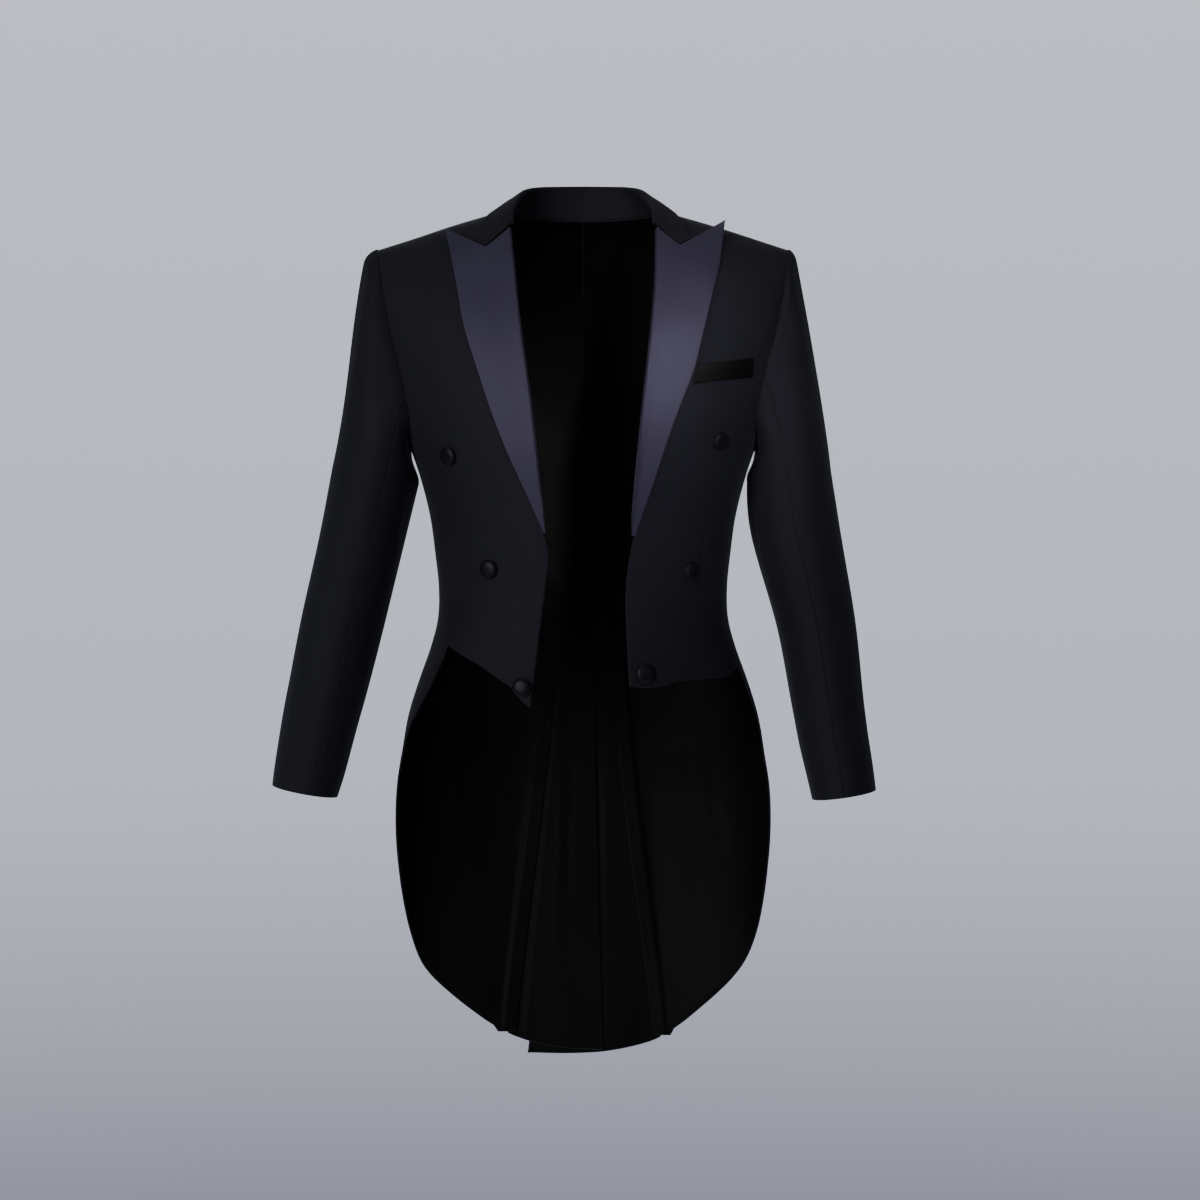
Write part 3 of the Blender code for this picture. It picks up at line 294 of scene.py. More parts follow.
def seen_ahead(x, z, behind=False):
    """Angle and level of the body point at x and z, as seen from the front or from behind."""
    x, z = np.broadcast_arrays(np.asarray(x, float), np.asarray(z, float))

    def rise(level):
        """How far the section of a level lies above z, at x."""
        height, *_, slope = sections(level)
        return height - shoulder_drop(x) * slope - z

    level = halve(rise, x.shape)
    angle = angle_of(x, level, behind)
    return np.where(behind & (x < 0), angle + 360, angle), level


def seen_side(y, z):
    """Angle and level of the body point at y and z, as seen from the wearer's left side."""

    def parts(level):
        """Across and ahead shares of the section of a level at y, and how far it lies above z there."""
        height, half_width, front, back, squareness, slope = sections(level)
        ahead = np.clip(np.abs(y) / np.maximum(np.where(y < 0, front, back), TINY), 0, 1)
        across = (1 - ahead ** squareness) ** (1 / squareness)
        return across, ahead, height - shoulder_drop(across * half_width) * slope - z

    level = halve(lambda at: parts(at)[2], y.shape)
    across, ahead, _ = parts(level)
    return np.degrees(np.arctan2(across, np.where(y < 0, ahead, -ahead))), level


def armhole(turn):
    """Angle and level of the armhole at a turn: 0 degrees at the shoulder, 90 in front, 180 under the arm."""
    turn = np.asarray(turn, float)
    angle, level = seen_side(*np.moveaxis(read_at(ARMHOLE, turn), -1, 0))
    tip = angle_of(SHOULDER_TIP, RIDGE_LEVEL)
    near_tip = np.clip(1 - np.minimum(turn, 360 - turn) / SHOULDER_TIP_TURNS, 0, 1)
    tip_angle = np.where(turn > 180, 180 - tip, tip)
    return angle * (1 - near_tip) + tip_angle * near_tip, level * (1 - near_tip) + RIDGE_LEVEL * near_tip


def patch(bottom, top, first, last, hold=1.0):
    """A grid between four edges, each an array of (angle, level).

    It goes straight across from first to last, and adds how far bottom and top depart from a straight line,
    by shares (1 - up)^hold and up^hold. A larger hold keeps their shape near themselves.
    """
    across = np.linspace(0, 1, len(bottom))[None, :, None]
    up = np.linspace(0, 1, len(first))[:, None, None]
    low = bottom - bottom[0] * (1 - across) - bottom[-1] * across
    high = top - top[0] * (1 - across) - top[-1] * across
    return first[:, None] * (1 - across) + last[:, None] * across + low * (1 - up) ** hold + high * up ** hold


def pull_in(points, gap):
    """Draws the four edges of a grid in by a distance, or out where it is below zero."""
    points = points.copy()
    for last, inside in ((0, 1), (-1, -2)):
        for axis in (0, 1):
            rim = np.moveaxis(points, axis, 0)
            step = rim[inside] - rim[last]
            size = np.linalg.norm(step, axis=-1, keepdims=True)
            rim[last] += step / np.maximum(size, TINY) * np.minimum(gap, size / 2)
    return points


def thread_place(points):
    """Where each point lies in the weave, in metres: its distance along its row and along its column."""
    place = np.zeros(points.shape[:2] + (2,))
    place[:, 1:, 0] = np.cumsum(np.linalg.norm(np.diff(points, axis=1), axis=-1), axis=1)
    place[1:, :, 1] = np.cumsum(np.linalg.norm(np.diff(points, axis=0), axis=-1), axis=0)
    return place


def sew(name, outside, inside, finishes, side=1.0, faced=None):
    """Makes one piece of cloth from its outer and inner grids, which a half-round edge joins.

    Both grids are drawn in by half the cloth's thickness, and the edge is half a circle of that radius:
    middle of the cloth + half thickness * cos(turn) + drawn-in distance * sin(turn). faced tells the faces
    of the inside that keep the outer cloth.
    """
    rows, columns = outside.shape[:2]
    count = rows * columns
    number = np.arange(count).reshape(rows, columns)
    rim = np.concatenate([number[0], number[1:, -1], number[-1, -2::-1], number[-2:0:-1, 0]])
    thick = float(np.median(np.linalg.norm(outside - inside, axis=-1)))
    over, under = pull_in(outside, thick / 2), pull_in(inside, thick / 2)
    flat = [grid.reshape(-1, 3) for grid in (over, under, outside, inside)]
    rim_over, rim_under, rim_out, rim_in = (grid[rim] for grid in flat)
    half, reach = (rim_over - rim_under) / 2, (rim_out - rim_over + rim_in - rim_under) / 2
    rings = [(rim_over + rim_under) / 2 + half * math.cos(turn) + reach * math.sin(turn)
             for turn in np.radians(RIM_TURNS)]
    loops = [rim, *(2 * count + k * len(rim) + np.arange(len(rim)) for k in range(len(rings))), rim + count]
    corner = number[:-1, :-1].ravel()
    outer = np.stack([corner, corner + 1, corner + columns + 1, corner + columns], 1)
    faces = [outer, outer[:, ::-1] + count]
    for near, far in zip(loops, loops[1:]):
        faces.append(np.stack([np.roll(near, -1), near, far, np.roll(far, -1)], 1))
    faces = np.concatenate(faces)
    if side < 0:
        faces = faces[:, ::-1]
    finish = np.zeros(len(faces), np.int32)
    finish[len(outer):2 * len(outer)] = 1 if faced is None else np.where(faced[:-1, :-1].ravel(), 0, 1)
    woven = thread_place(outside).reshape(-1, 2)
    woven = np.concatenate([woven, woven] + [woven[rim]] * len(rings))
    return make_mesh(name, np.concatenate([*flat[:2], *rings]), faces, woven, finishes, finish)


def make_mesh(name, points, faces, woven, finishes, finish):
    """Puts arrays of points, four-sided faces and weave places into a new mesh piece."""
    mesh = bpy.data.meshes.new(name)
    mesh.vertices.add(len(points))
    mesh.vertices.foreach_set("co", np.ascontiguousarray(points, np.float32).ravel())
    mesh.loops.add(faces.size)
    mesh.loops.foreach_set("vertex_index", np.ascontiguousarray(faces, np.int32).ravel())
    mesh.polygons.add(len(faces))
    mesh.polygons.foreach_set("loop_start", np.arange(0, faces.size, 4, dtype=np.int32))
    mesh.update(calc_edges=True)
    mesh.shade_smooth()
    weave = mesh.uv_layers.new(name="weave")
    weave.data.foreach_set("uv", woven[faces.ravel()].astype(np.float32).ravel())
    for material in finishes:
        mesh.materials.append(material)
    mesh.polygons.foreach_set("material_index", np.ascontiguousarray(finish, np.int32))
    piece = bpy.data.objects.new(name, mesh)
    bpy.context.scene.collection.objects.link(piece)
    return piece


def crease_depth(across, up, rows):
    """How far a set of soft troughs and ridges moves the cloth out.

    Each goes from one point to another with a sideways bow, is a bell across and fades at both ends:
    depth * exp(-(off / width)^2) * sin(pi * t)^1.5.
    """
    out = np.zeros_like(across)
    for x0, z0, x1, z1, bow, width, depth in rows:
        dx, dz = x1 - x0, z1 - z0
        size = math.hypot(dx, dz)
        t = ((across - x0) * dx + (up - z0) * dz) / size ** 2
        inside = np.clip(t, 0, 1)
        off = ((across - x0) * dz - (up - z0) * dx) / size - bow * 4 * inside * (1 - inside)
        out = out + depth * np.exp(-((off / width) ** 2)) * np.sin(np.pi * inside) ** 1.5
    return out


def settled(across, up):
    """The slight unevenness of hanging cloth: long slanting waves, each share * sin(slant + start)."""
    return SETTLE_DEPTH * sum(share * np.sin(across * across_rate + up * up_rate + start)
                              for across_rate, up_rate, start, share in SETTLE_WAVES)


def feed(tree, node, inputs):
    """Gives each named input of a node a value, or a link where the value is another node's output."""
    for label, value in inputs.items():
        if isinstance(value, bpy.types.NodeSocket):
            tree.links.new(value, node.inputs[label])
        else:
            node.inputs[label].default_value = value


def add_node(tree, kind, inputs=None):
    """Adds a shader node of a kind, with its inputs fed."""
    node = tree.nodes.new("ShaderNode" + kind)
    feed(tree, node, inputs or {})
    return node


def ramp(tree, amount, stops):
    """The colour read by an amount from 0 to 1 in a table of places and colours."""
    node = add_node(tree, "ValToRGB", {"Fac": amount})
    elements = node.color_ramp.elements
    for _ in stops[2:]:
        elements.new(0.5)
    for element, (place, colour) in zip(elements, stops):
        element.position, element.color = place, (*colour, 1)
    return node.outputs["Color"]


def node_group_weave():
    """The weave of every cloth here. Rib: slanting bands across the cloth. Thread: noise drawn out along it.

    Height is rib * share + thread * (1 - share), and shade is a slow cloudiness with a little of the height.
    """
    group = bpy.data.node_groups.new("cloth weave", "ShaderNodeTree")
    face = group.interface
    face.new_socket("Place", in_out="INPUT", socket_type="NodeSocketVector")
    for label in WEAVE_INPUTS:
        face.new_socket(label, in_out="INPUT", socket_type="NodeSocketFloat")
    for label in ("Height", "Shade"):
        face.new_socket(label, in_out="OUTPUT", socket_type="NodeSocketFloat")
    given = group.nodes.new("NodeGroupInput").outputs
    place = given["Place"]
    rib = add_node(group, "TexWave", {
        "Vector": place, "Scale": given["Rib scale"], "Distortion": 0.6, "Detail": 1.0,
    })
    rib.bands_direction = "DIAGONAL"
    apart = add_node(group, "SeparateXYZ", {"Vector": place}).outputs
    stretch = add_node(group, "Math", {0: apart["X"], 1: given["Draw out"]})
    stretch.operation = "MULTIPLY"
    drawn = add_node(group, "CombineXYZ", {"X": stretch.outputs[0], "Y": apart["Y"]}).outputs[0]
    thread = add_node(group, "TexNoise", {"Vector": drawn, "Scale": given["Thread scale"], "Detail": 2.0})
    height = add_node(group, "Mix", {
        "Factor": given["Rib share"], "A": thread.outputs["Fac"], "B": rib.outputs["Fac"],
    }).outputs["Result"]
    cloud = add_node(group, "TexNoise", {"Vector": place, "Scale": 9.0, "Detail": 3.0})
    shade = add_node(group, "Mix", {"Factor": 0.35, "A": cloud.outputs["Fac"], "B": height}).outputs["Result"]
    feed(group, group.nodes.new("NodeGroupOutput"), {"Height": height, "Shade": shade})
    return group


weave_group = node_group_weave()


def cloth_finish(name, dark, light, rough, sheen, weave, bump, specular, tint=(1, 1, 1), anisotropic=0.0):
    """A cloth's material: two close colours and two roughnesses blended by the weave's shade, and its bump.

    weave gives the weave's inputs in order, and bump the strength and the distance.
    """
    material = bpy.data.materials.new(name)
    material.use_nodes = True
    tree = material.node_tree
    place = add_node(tree, "UVMap")
    place.uv_map = "weave"
    cloth = add_node(tree, "Group")
    cloth.node_tree = weave_group
    feed(tree, cloth, {"Place": place.outputs["UV"], **dict(zip(WEAVE_INPUTS, weave))})
    shade = cloth.outputs["Shade"]
    dull = add_node(tree, "MapRange", {"Value": shade, "To Min": rough[0], "To Max": rough[1]})
    height = cloth.outputs["Height"]
    relief = add_node(tree, "Bump", {"Height": height, "Strength": bump[0], "Distance": bump[1]})
    feed(tree, tree.nodes["Principled BSDF"], {
        "Base Color": ramp(tree, shade, ((0.3, dark), (0.7, light))), "Roughness": dull.outputs["Result"],
        "Normal": relief.outputs["Normal"], "Sheen Weight": sheen[0], "Sheen Roughness": sheen[1],
        "Sheen Tint": (*tint, 1), "Specular Tint": (*tint, 1), "Specular IOR Level": specular,
        "Anisotropic": anisotropic,
    })
    return material


wool = cloth_finish(
    "black worsted wool", (0.0044, 0.0045, 0.0062), (0.0074, 0.0076, 0.0102), (0.60, 0.76), (0.05, 0.5),
    (700.0, 0.6, 1400.0, 2.5), (0.5, 0.0002), specular=0.16, tint=(0.75, 0.75, 0.9),
)
lining = cloth_finish(
    "black satin lining", (0.0023, 0.0024, 0.0024), (0.0038, 0.0039, 0.0039), (0.5, 0.62), (0.0, 0.5),
    (500.0, 0.1, 800.0, 8.0), (0.3, 0.0001), specular=0.05,
)


def edge(angle, level):
    """An edge as an array of (angle, level)."""
    angle, level = np.broadcast_arrays(np.asarray(angle, float), np.asarray(level, float))
    return np.stack([angle, level], axis=-1)


def side_back_edge(which):
    """The points that panels share along the side-back seam, from the hem of the tail up to the armhole."""
    join = armhole(SIDE_BACK_TURN)
    x, z = SIDE_BACK[::-1].T
    fine = np.linspace(z[0], z[-1], CURVE_STEPS)
    seam = seen_ahead(np.interp(fine, z, x), fine, behind=True)
    angle, level = np.append(seam[0], join[0]), np.append(seam[1], join[1])
    hem_angle = np.interp(level_of(HEM_BOTTOM), level, angle)
    tail = np.linspace(level_of(tail_hem(which, hem_angle)), level_of(VENT_TOP - VENT_STEP), TAIL_ROWS)
    body_rows = np.linspace(level_of(WAIST_BACK), join[1], SIDE_ROWS)
    want = np.concatenate([tail, [level_of(VENT_TOP + VENT_STEP)], body_rows])
    return edge(np.interp(want, level, angle), want)


def seen_above(x, y):
    """Angle and level of the body point at x and y, as seen from above: where the section is that deep."""
    x, y = np.broadcast_arrays(np.asarray(x, float), np.asarray(y, float))

    def outward(level):
        """How far y lies outside the section of a level, at x."""
        _, half_width, front, back, squareness, _ = sections(level)
        across = np.clip(np.abs(x) / half_width, 0, 1)
        return np.abs(y) - np.where(y < 0, front, back) * (1 - across ** squareness) ** (1 / squareness)

    level = halve(outward, x.shape, CHEST_LEVEL)
    return np.where(y < 0, angle_of(x, level), angle_of(x, level, behind=True)), level


def ease(amount):
    """A soft step from 0 to 1."""
    amount = np.clip(amount, 0, 1)
    return amount * amount * (3 - 2 * amount)


def level_of(z):
    """The level of a height, well below the shoulders."""
    return seen_ahead(0.0 * np.asarray(z, float), z)[1]


def tail_hem(which, angle):
    """Height of the tail's cut edge at an angle."""
    return read_at(TAIL_EDGE[which], angle)[..., 0]


def vent_reach(which, z):
    """How far a half of the back laps past the middle at a height: evenly more below the vent's top."""
    at_top, at_hem = VENT_REACH[which]
    return at_top + (at_hem - at_top) * np.clip((VENT_TOP - z) / (VENT_TOP - HEM_BOTTOM), 0, 1)


def vent_edge(which, z):
    """Angle of the centre-back edge at a height: past 180 degrees below the top of the vent."""
    reach = np.where(z < VENT_TOP - VENT_STEP / 2, vent_reach(which, z), 0.0)
    past, _ = seen_ahead(-reach, z, behind=True)
    return np.where(reach > 0, past, 180.0)


def back_grid(which):
    """The half back, from the tail's hem up to the neck, and its lift: the right half dips under the lap.

    It lies between the side-back seam, or the armhole, and the middle.
    """
    seam = side_back_edge(which)
    first = np.concatenate([seam, edge(*armhole(BACK_TURNS[1:]))])
    heights = np.linspace(tail_hem(which, VENT_HEM_ANGLE), VENT_TOP - VENT_STEP, TAIL_ROWS)
    _, nape_level = seen_above(*BACK_NECK[-1])
    blade = (360.0 - BACK_TURNS[1:]) / (360.0 - SIDE_BACK_TURN)
    last_level = np.concatenate([
        level_of(heights), seam[TAIL_ROWS:, 1], nape_level - (nape_level - seam[-1, 1]) * blade,
    ])
    last_z = np.append(heights, np.zeros(len(first) - TAIL_ROWS))
    last = edge(vent_edge(which, last_z), last_level)

    hem_angle = np.linspace(first[0, 0], last[0, 0], BACK_COLUMNS)
    bottom = edge(hem_angle, level_of(tail_hem(which, hem_angle)))
    bottom[0], bottom[-1] = first[0], last[0]
    half = BACK_COLUMNS // 2
    neck = edge(*seen_above(*along(BACK_NECK, BACK_COLUMNS - half).T))
    neck[0] = edge(180 - angle_of(NECK_POINT, RIDGE_LEVEL), RIDGE_LEVEL)
    ridge = edge(np.linspace(first[-1, 0], neck[0, 0], half + 1)[:-1], RIDGE_LEVEL)
    top = np.concatenate([ridge, neck])
    top[-1] = last[-1]
    grid = patch(bottom, top, first, last, BACK_HOLD)
    if which == "left":
        return grid, 0.0
    x, _, z = np.moveaxis(surface(grid[..., 0], grid[..., 1]), -1, 0)
    under = ease((vent_reach("left", z) + VENT_CLEAR + VENT_EASE - x) / VENT_EASE)
    lift = -LAP * under * ease((VENT_TOP + VENT_EASE + VENT_LEAD - z) / VENT_EASE)
    lift[TAIL_ROWS:, -1] = 0.0
    return grid, lift


def fade_to_seams(rows, columns, reach):
    """1 in the middle of a grid and 0 at its rim, over a few points, so that neighbours still meet."""
    row, column = np.arange(rows)[:, None], np.arange(columns)[None]
    inward = np.minimum(np.minimum(row, rows - 1 - row), np.minimum(column, columns - 1 - column))
    return ease(inward / reach)


def on_body(grid, side, creases, lift=0.0):
    """The outer and inner grids of a panel on its side of the body surface, with its creases pressed in."""
    angle, level = grid[..., 0] * side, grid[..., 1]
    bare = surface(angle, level)
    x, _, z = np.moveaxis(bare, -1, 0)
    pressed = crease_depth(np.abs(x), z, creases) * fade_to_seams(*x.shape, BODY_FADE)
    out = body_normal(angle, level)
    outside = pull_in(bare + (lift + settled(x, z) + pressed)[..., None] * out, -SEAM_OVERLAP)
    return outside, outside - CLOTH * out


for which, side in SIDES.items():
    grid, lift = back_grid(which)
    over, under = on_body(grid, side, BACK_CREASES, lift)
    back = sew("coat_back_" + which, over, under, (wool, lining), side)
    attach(back, "root")
    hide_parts("back_" + which)


# The panels under the arms, of the same wool, sewn between the side seams and the curved side-back seams.
# They shape the waist, and end at the waist seam.

SIDE_SEAM_ANGLE = 96.0
SIDE_TURNS = np.linspace(SIDE_SEAM_TURN, SIDE_BACK_TURN, 31)
# The lower edge of each front, from the front edge to the side seam: share of the way round, height
FRONT_HEM = {
    "right": np.array([
        (0.00, -0.5560), (0.10, -0.5326), (0.26, -0.5100), (0.53, -0.4880), (0.75, -0.4800), (1.00, -0.4760),
    ]),
    "left": np.array([
        (0.00, -0.5330), (0.10, -0.5345), (0.22, -0.5270), (0.55, -0.5210), (0.75, -0.5050), (1.00, -0.4800),
    ]),
}
SIDE_CREASES = np.array([
    (0.20, -0.400, 0.15, -0.428, 0.003, 0.006, -0.0010),
    (0.19, -0.445, 0.12, -0.440, -0.002, 0.005, -0.0008),
])


def side_body_grid(which):
    """The side body: from the waist seam to the armhole, between side seam and side-back seam."""
    top = edge(*armhole(SIDE_TURNS))
    last = side_back_edge(which)[TAIL_ROWS + 1:]
    low = level_of(np.linspace(FRONT_HEM[which][-1, 1], WAIST_BACK, len(top)))
    first = edge(SIDE_SEAM_ANGLE, np.linspace(low[0], top[0, 1], SIDE_ROWS))
    first[-1] = top[0]
    bottom = edge(np.linspace(SIDE_SEAM_ANGLE, last[0, 0], len(top)), low)
    return patch(bottom, top, first, last)


for which, side in SIDES.items():
    over, under = on_body(side_body_grid(which), side, SIDE_CREASES)
    side_body = sew("coat_side_body_" + which, over, under, (wool, lining), side)
    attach(side_body, "root")
    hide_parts("side_body_" + which)


# The two fronts, of the same wool over canvas, from the shoulder to the waist seam. They are worn open, fold
# over at the roll line to carry the lapels, and are cut away to a low point. A dart shapes the waist.

# The front edge and roll line of each front, bottom to top, as seen from the front: x, z
FRONT_EDGE = {
    "right": np.array([
        (0.0566, -0.5560), (0.0468, -0.4760), (0.0372, -0.3960), (0.0390, -0.3730), (0.0476, -0.2887),
        (0.0552, -0.2215), (0.0678, -0.1291), (0.0728, -0.0812), (0.0784, -0.0311), (0.0800, -0.0180),
    ]),
    "left": np.array([
        (0.0510, -0.5330), (0.0480, -0.4760), (0.0472, -0.4280), (0.0535, -0.3762), (0.0534, -0.3427),
        (0.0617, -0.2518), (0.0694, -0.1808), (0.0776, -0.0969), (0.0795, -0.0400), (0.0800, -0.0180),
    ]),
}
BREAK_ROW = 3
INSET_LEAD = 0.006
INSET_EASE = 0.020
CORNER_LEAD = 0.2
FRONT_TURNS = SIDE_SEAM_TURN * np.linspace(1.0, 0.0, 57) ** 1.2
LAPEL_INSET = 0.004
FRONT_ROWS = 60
FRONT_COLUMNS = 71
# Columns next to the front edge that are faced with wool inside
FACING_COLUMNS = 26
# Creases of each front, in the columns of the back's. The first of each is the dart.
FRONT_CREASES = {
    "right": np.array([
        (0.150, -0.272, 0.135, -0.495, 0.003, 0.0012, -0.0013),
        (0.185, -0.150, 0.176, -0.270, 0.006, 0.0120, -0.0018),
        (0.160, -0.410, 0.105, -0.435, 0.003, 0.0065, -0.0010),
        (0.155, -0.450, 0.115, -0.453, -0.002, 0.0055, -0.0009),
        (0.150, -0.345, 0.118, -0.400, 0.004, 0.0080, -0.0009),
        (0.205, -0.070, 0.195, -0.150, 0.004, 0.0100, -0.0012),
        (0.070, -0.430, 0.060, -0.515, 0.002, 0.0080, 0.0007),
    ]),
    "left": np.array([
        (0.147, -0.28, 0.125, -0.485, 0.004, 0.0011, -0.0009),
        (0.183, -0.16, 0.178, -0.265, 0.005, 0.0110, -0.0016),
        (0.162, -0.40, 0.112, -0.420, 0.002, 0.0060, -0.0011),
        (0.158, -0.44, 0.100, -0.460, 0.003, 0.0060, -0.0008),
        (0.148, -0.33, 0.128, -0.390, -0.003, 0.0080, -0.0008),
        (0.207, -0.07, 0.197, -0.145, 0.003, 0.0100, -0.0010),
        (0.075, -0.44, 0.065, -0.505, 0.002, 0.0090, 0.0006),
    ]),
}


def front_grid(which):
    """The front: from its edge and roll line to the side seam and armhole, from its hem to the shoulder."""
    hem_level = level_of(read_at(FRONT_HEM[which], np.linspace(0, 1, FRONT_COLUMNS))[:, 0])
    corner = armhole(SIDE_SEAM_TURN)
    below = edge(SIDE_SEAM_ANGLE, np.linspace(hem_level[-1], corner[1], FRONT_ROWS))
    below[-1] = corner
    last = np.concatenate([below, edge(*armhole(FRONT_TURNS[1:]))])

    front = along(FRONT_EDGE[which])
    above_break = front[:, 1] - FRONT_EDGE[which][BREAK_ROW, 1]
    inset = LAPEL_INSET * np.clip((above_break + INSET_LEAD) / INSET_EASE, 0, 1)
    angle, level = seen_ahead(front[:, 0] + inset, front[:, 1])
    angle, level = np.append(angle, angle_of(NECK_POINT, RIDGE_LEVEL)), np.append(level, RIDGE_LEVEL)
    want = np.interp(np.arange(len(last)), [0, FRONT_ROWS - 1, len(last) - 1],
                     [level[0], corner[1] + CORNER_LEAD, RIDGE_LEVEL])
    first = edge(np.interp(want, level, angle), want)

    bottom = edge(np.linspace(first[0, 0], last[0, 0], FRONT_COLUMNS), hem_level)
    bottom[0], bottom[-1] = first[0], last[0]
    top = edge(np.linspace(first[-1, 0], last[-1, 0], FRONT_COLUMNS), RIDGE_LEVEL)
    return patch(bottom, top, first, last)


for which, side in SIDES.items():
    over, under = on_body(front_grid(which), side, FRONT_CREASES[which])
    facing = np.zeros(over.shape[0])[:, None] + np.arange(over.shape[1]) < FACING_COLUMNS
    front = sew("coat_front_" + which, over, under, (wool, lining), side, facing)
    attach(front, "root")
    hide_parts("front_" + which)


# The outer parts of the tails, of wool lined with satin, sewn to the waist seam. Their front edge sweeps back
# to the hem, and their back edge tucks under the back in a pressed pleat.

PLEAT_DEPTH = 0.012
PLEAT_EASE = 0.008
PLEAT_LEAD = 0.001
PLEAT_COLUMNS = 19
TAIL_COLUMNS = 61
TAIL_CREASES = np.array([
    (0.150, -0.53, 0.170, -0.78, 0.010, 0.008, -0.0016),
    (0.115, -0.52, 0.125, -0.84, -0.008, 0.008, -0.0013),
    (0.080, -0.56, 0.095, -0.86, 0.006, 0.007, 0.0012),
    (0.190, -0.56, 0.198, -0.73, 0.004, 0.010, -0.0012),
])


def tail_skirt_grid(which):
    """Angles and levels of the outer part of a tail, and how far its pleat is pressed under the back."""
    front_angle = TAIL_EDGE[which][0, 0]
    edge_angle = front_grid(which)[0, 0, 0]
    seam = side_back_edge(which)[:TAIL_ROWS + 2]
    place = surface(seam[:, 0], seam[:, 1])

    def waist_level(angle):
        """The level of the waist seam: the fronts' lower edge, then a straight line to the back."""
        ahead_share = np.clip((angle - edge_angle) / (SIDE_SEAM_ANGLE - edge_angle), 0, 1)
        ahead = read_at(FRONT_HEM[which], ahead_share)[..., 0]
        behind_share = np.clip((angle - SIDE_SEAM_ANGLE) / (seam[-1, 0] - SIDE_SEAM_ANGLE), 0, 1)
        return level_of(ahead + (WAIST_BACK - ahead) * behind_share + SEAM_OVERLAP)

    reaches = np.linspace(PLEAT_EASE + PLEAT_LEAD, -PLEAT_DEPTH, PLEAT_COLUMNS)
    pleat = edge(*seen_ahead(place[:, :1] + reaches, place[:, 2:], behind=True))
    pleat[-1, :, 1] = waist_level(pleat[-1, :, 0])
    last = pleat[:, 0]
    top_angle = np.linspace(front_angle, last[-1, 0], TAIL_COLUMNS)
    top = edge(top_angle, waist_level(top_angle))
    hem_angle = np.linspace(front_angle, last[0, 0], TAIL_COLUMNS)
    bottom = edge(hem_angle, level_of(tail_hem(which, hem_angle)))
    first = edge(front_angle, np.linspace(bottom[0, 1], top[0, 1], len(last)))
    bottom[-1], top[-1] = last[0], last[-1]
    grid = np.concatenate([patch(bottom, top, first, last), pleat[:, 1:]], axis=1)
    lift = np.zeros(grid.shape[:2])
    lift[:, -PLEAT_COLUMNS:] = -LAP * ease((reaches[0] - reaches) / PLEAT_EASE)
    return grid, lift


for which, side in SIDES.items():
    grid, lift = tail_skirt_grid(which)
    over, under = on_body(grid, side, TAIL_CREASES, lift)
    tail = sew("coat_tail_" + which, over, under, (wool, lining), side)
    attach(tail, "root")
    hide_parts("tail_skirt_" + which)


# The sleeves, each of a wider top half and a narrower under half, of the wool with satin inside. Their heads
# are eased into the armholes, so that they stand out and roll over, and they hang from there.

# Arms, as sleeve sections from the underarm to the cuff: z, x, y, half width, half depth
ARM = {
    "right": np.array([
        (-0.3000, 0.2321, 0.000, 0.0482, 0.0660),
        (-0.3707, 0.2475, -0.002, 0.0462, 0.0640),
        (-0.4610, 0.2675, -0.010, 0.0447, 0.0605),
        (-0.5235, 0.2810, -0.022, 0.0425, 0.0575),
        (-0.5720, 0.2915, -0.034, 0.0406, 0.0555),
        (-0.6235, 0.3012, -0.046, 0.0380, 0.0535),
        (-0.6495, 0.3065, -0.053, 0.0355, 0.0525),
    ]),
    "left": np.array([
        (-0.3000, 0.2304, 0.000, 0.0464, 0.0660),
        (-0.3550, 0.2366, -0.002, 0.0487, 0.0640),
        (-0.4610, 0.2594, -0.010, 0.0425, 0.0605),
        (-0.5490, 0.2718, -0.026, 0.0387, 0.0565),
        (-0.5900, 0.2775, -0.036, 0.0375, 0.0550),
        (-0.6235, 0.2831, -0.046, 0.0362, 0.0535),
        (-0.6535, 0.2881, -0.054, 0.0345, 0.0525),
    ]),
}
CAP_LEAD_TOP = np.array([1.0, 0.0, -0.16])
CAP_LEAD_LOW = np.array([0.70, 0.0, -0.40])
CAP_SPREAD = 0.45
CAP_OUT = {"right": (0.0105, 0.0040), "left": (0.0045, 0.0040)}
CAP_DOWN = (0.0110, 0.0060)
FALL_SPREAD = 1.25
CAP_ROWS = 12
SLEEVE_ROWS = 34
ARM_ROWS = 84
SLEEVE_COLUMNS = {"top": 81, "under": 65}
SLEEVE_FADE = 10
# Rows of the cuff where the wool is turned up inside
TURN_UP_ROWS = 8
SEAM_TURNS = {"right": (109.5, 251.6), "left": (95.0, 251.6)}
SLEEVE_ROUND = 0.055
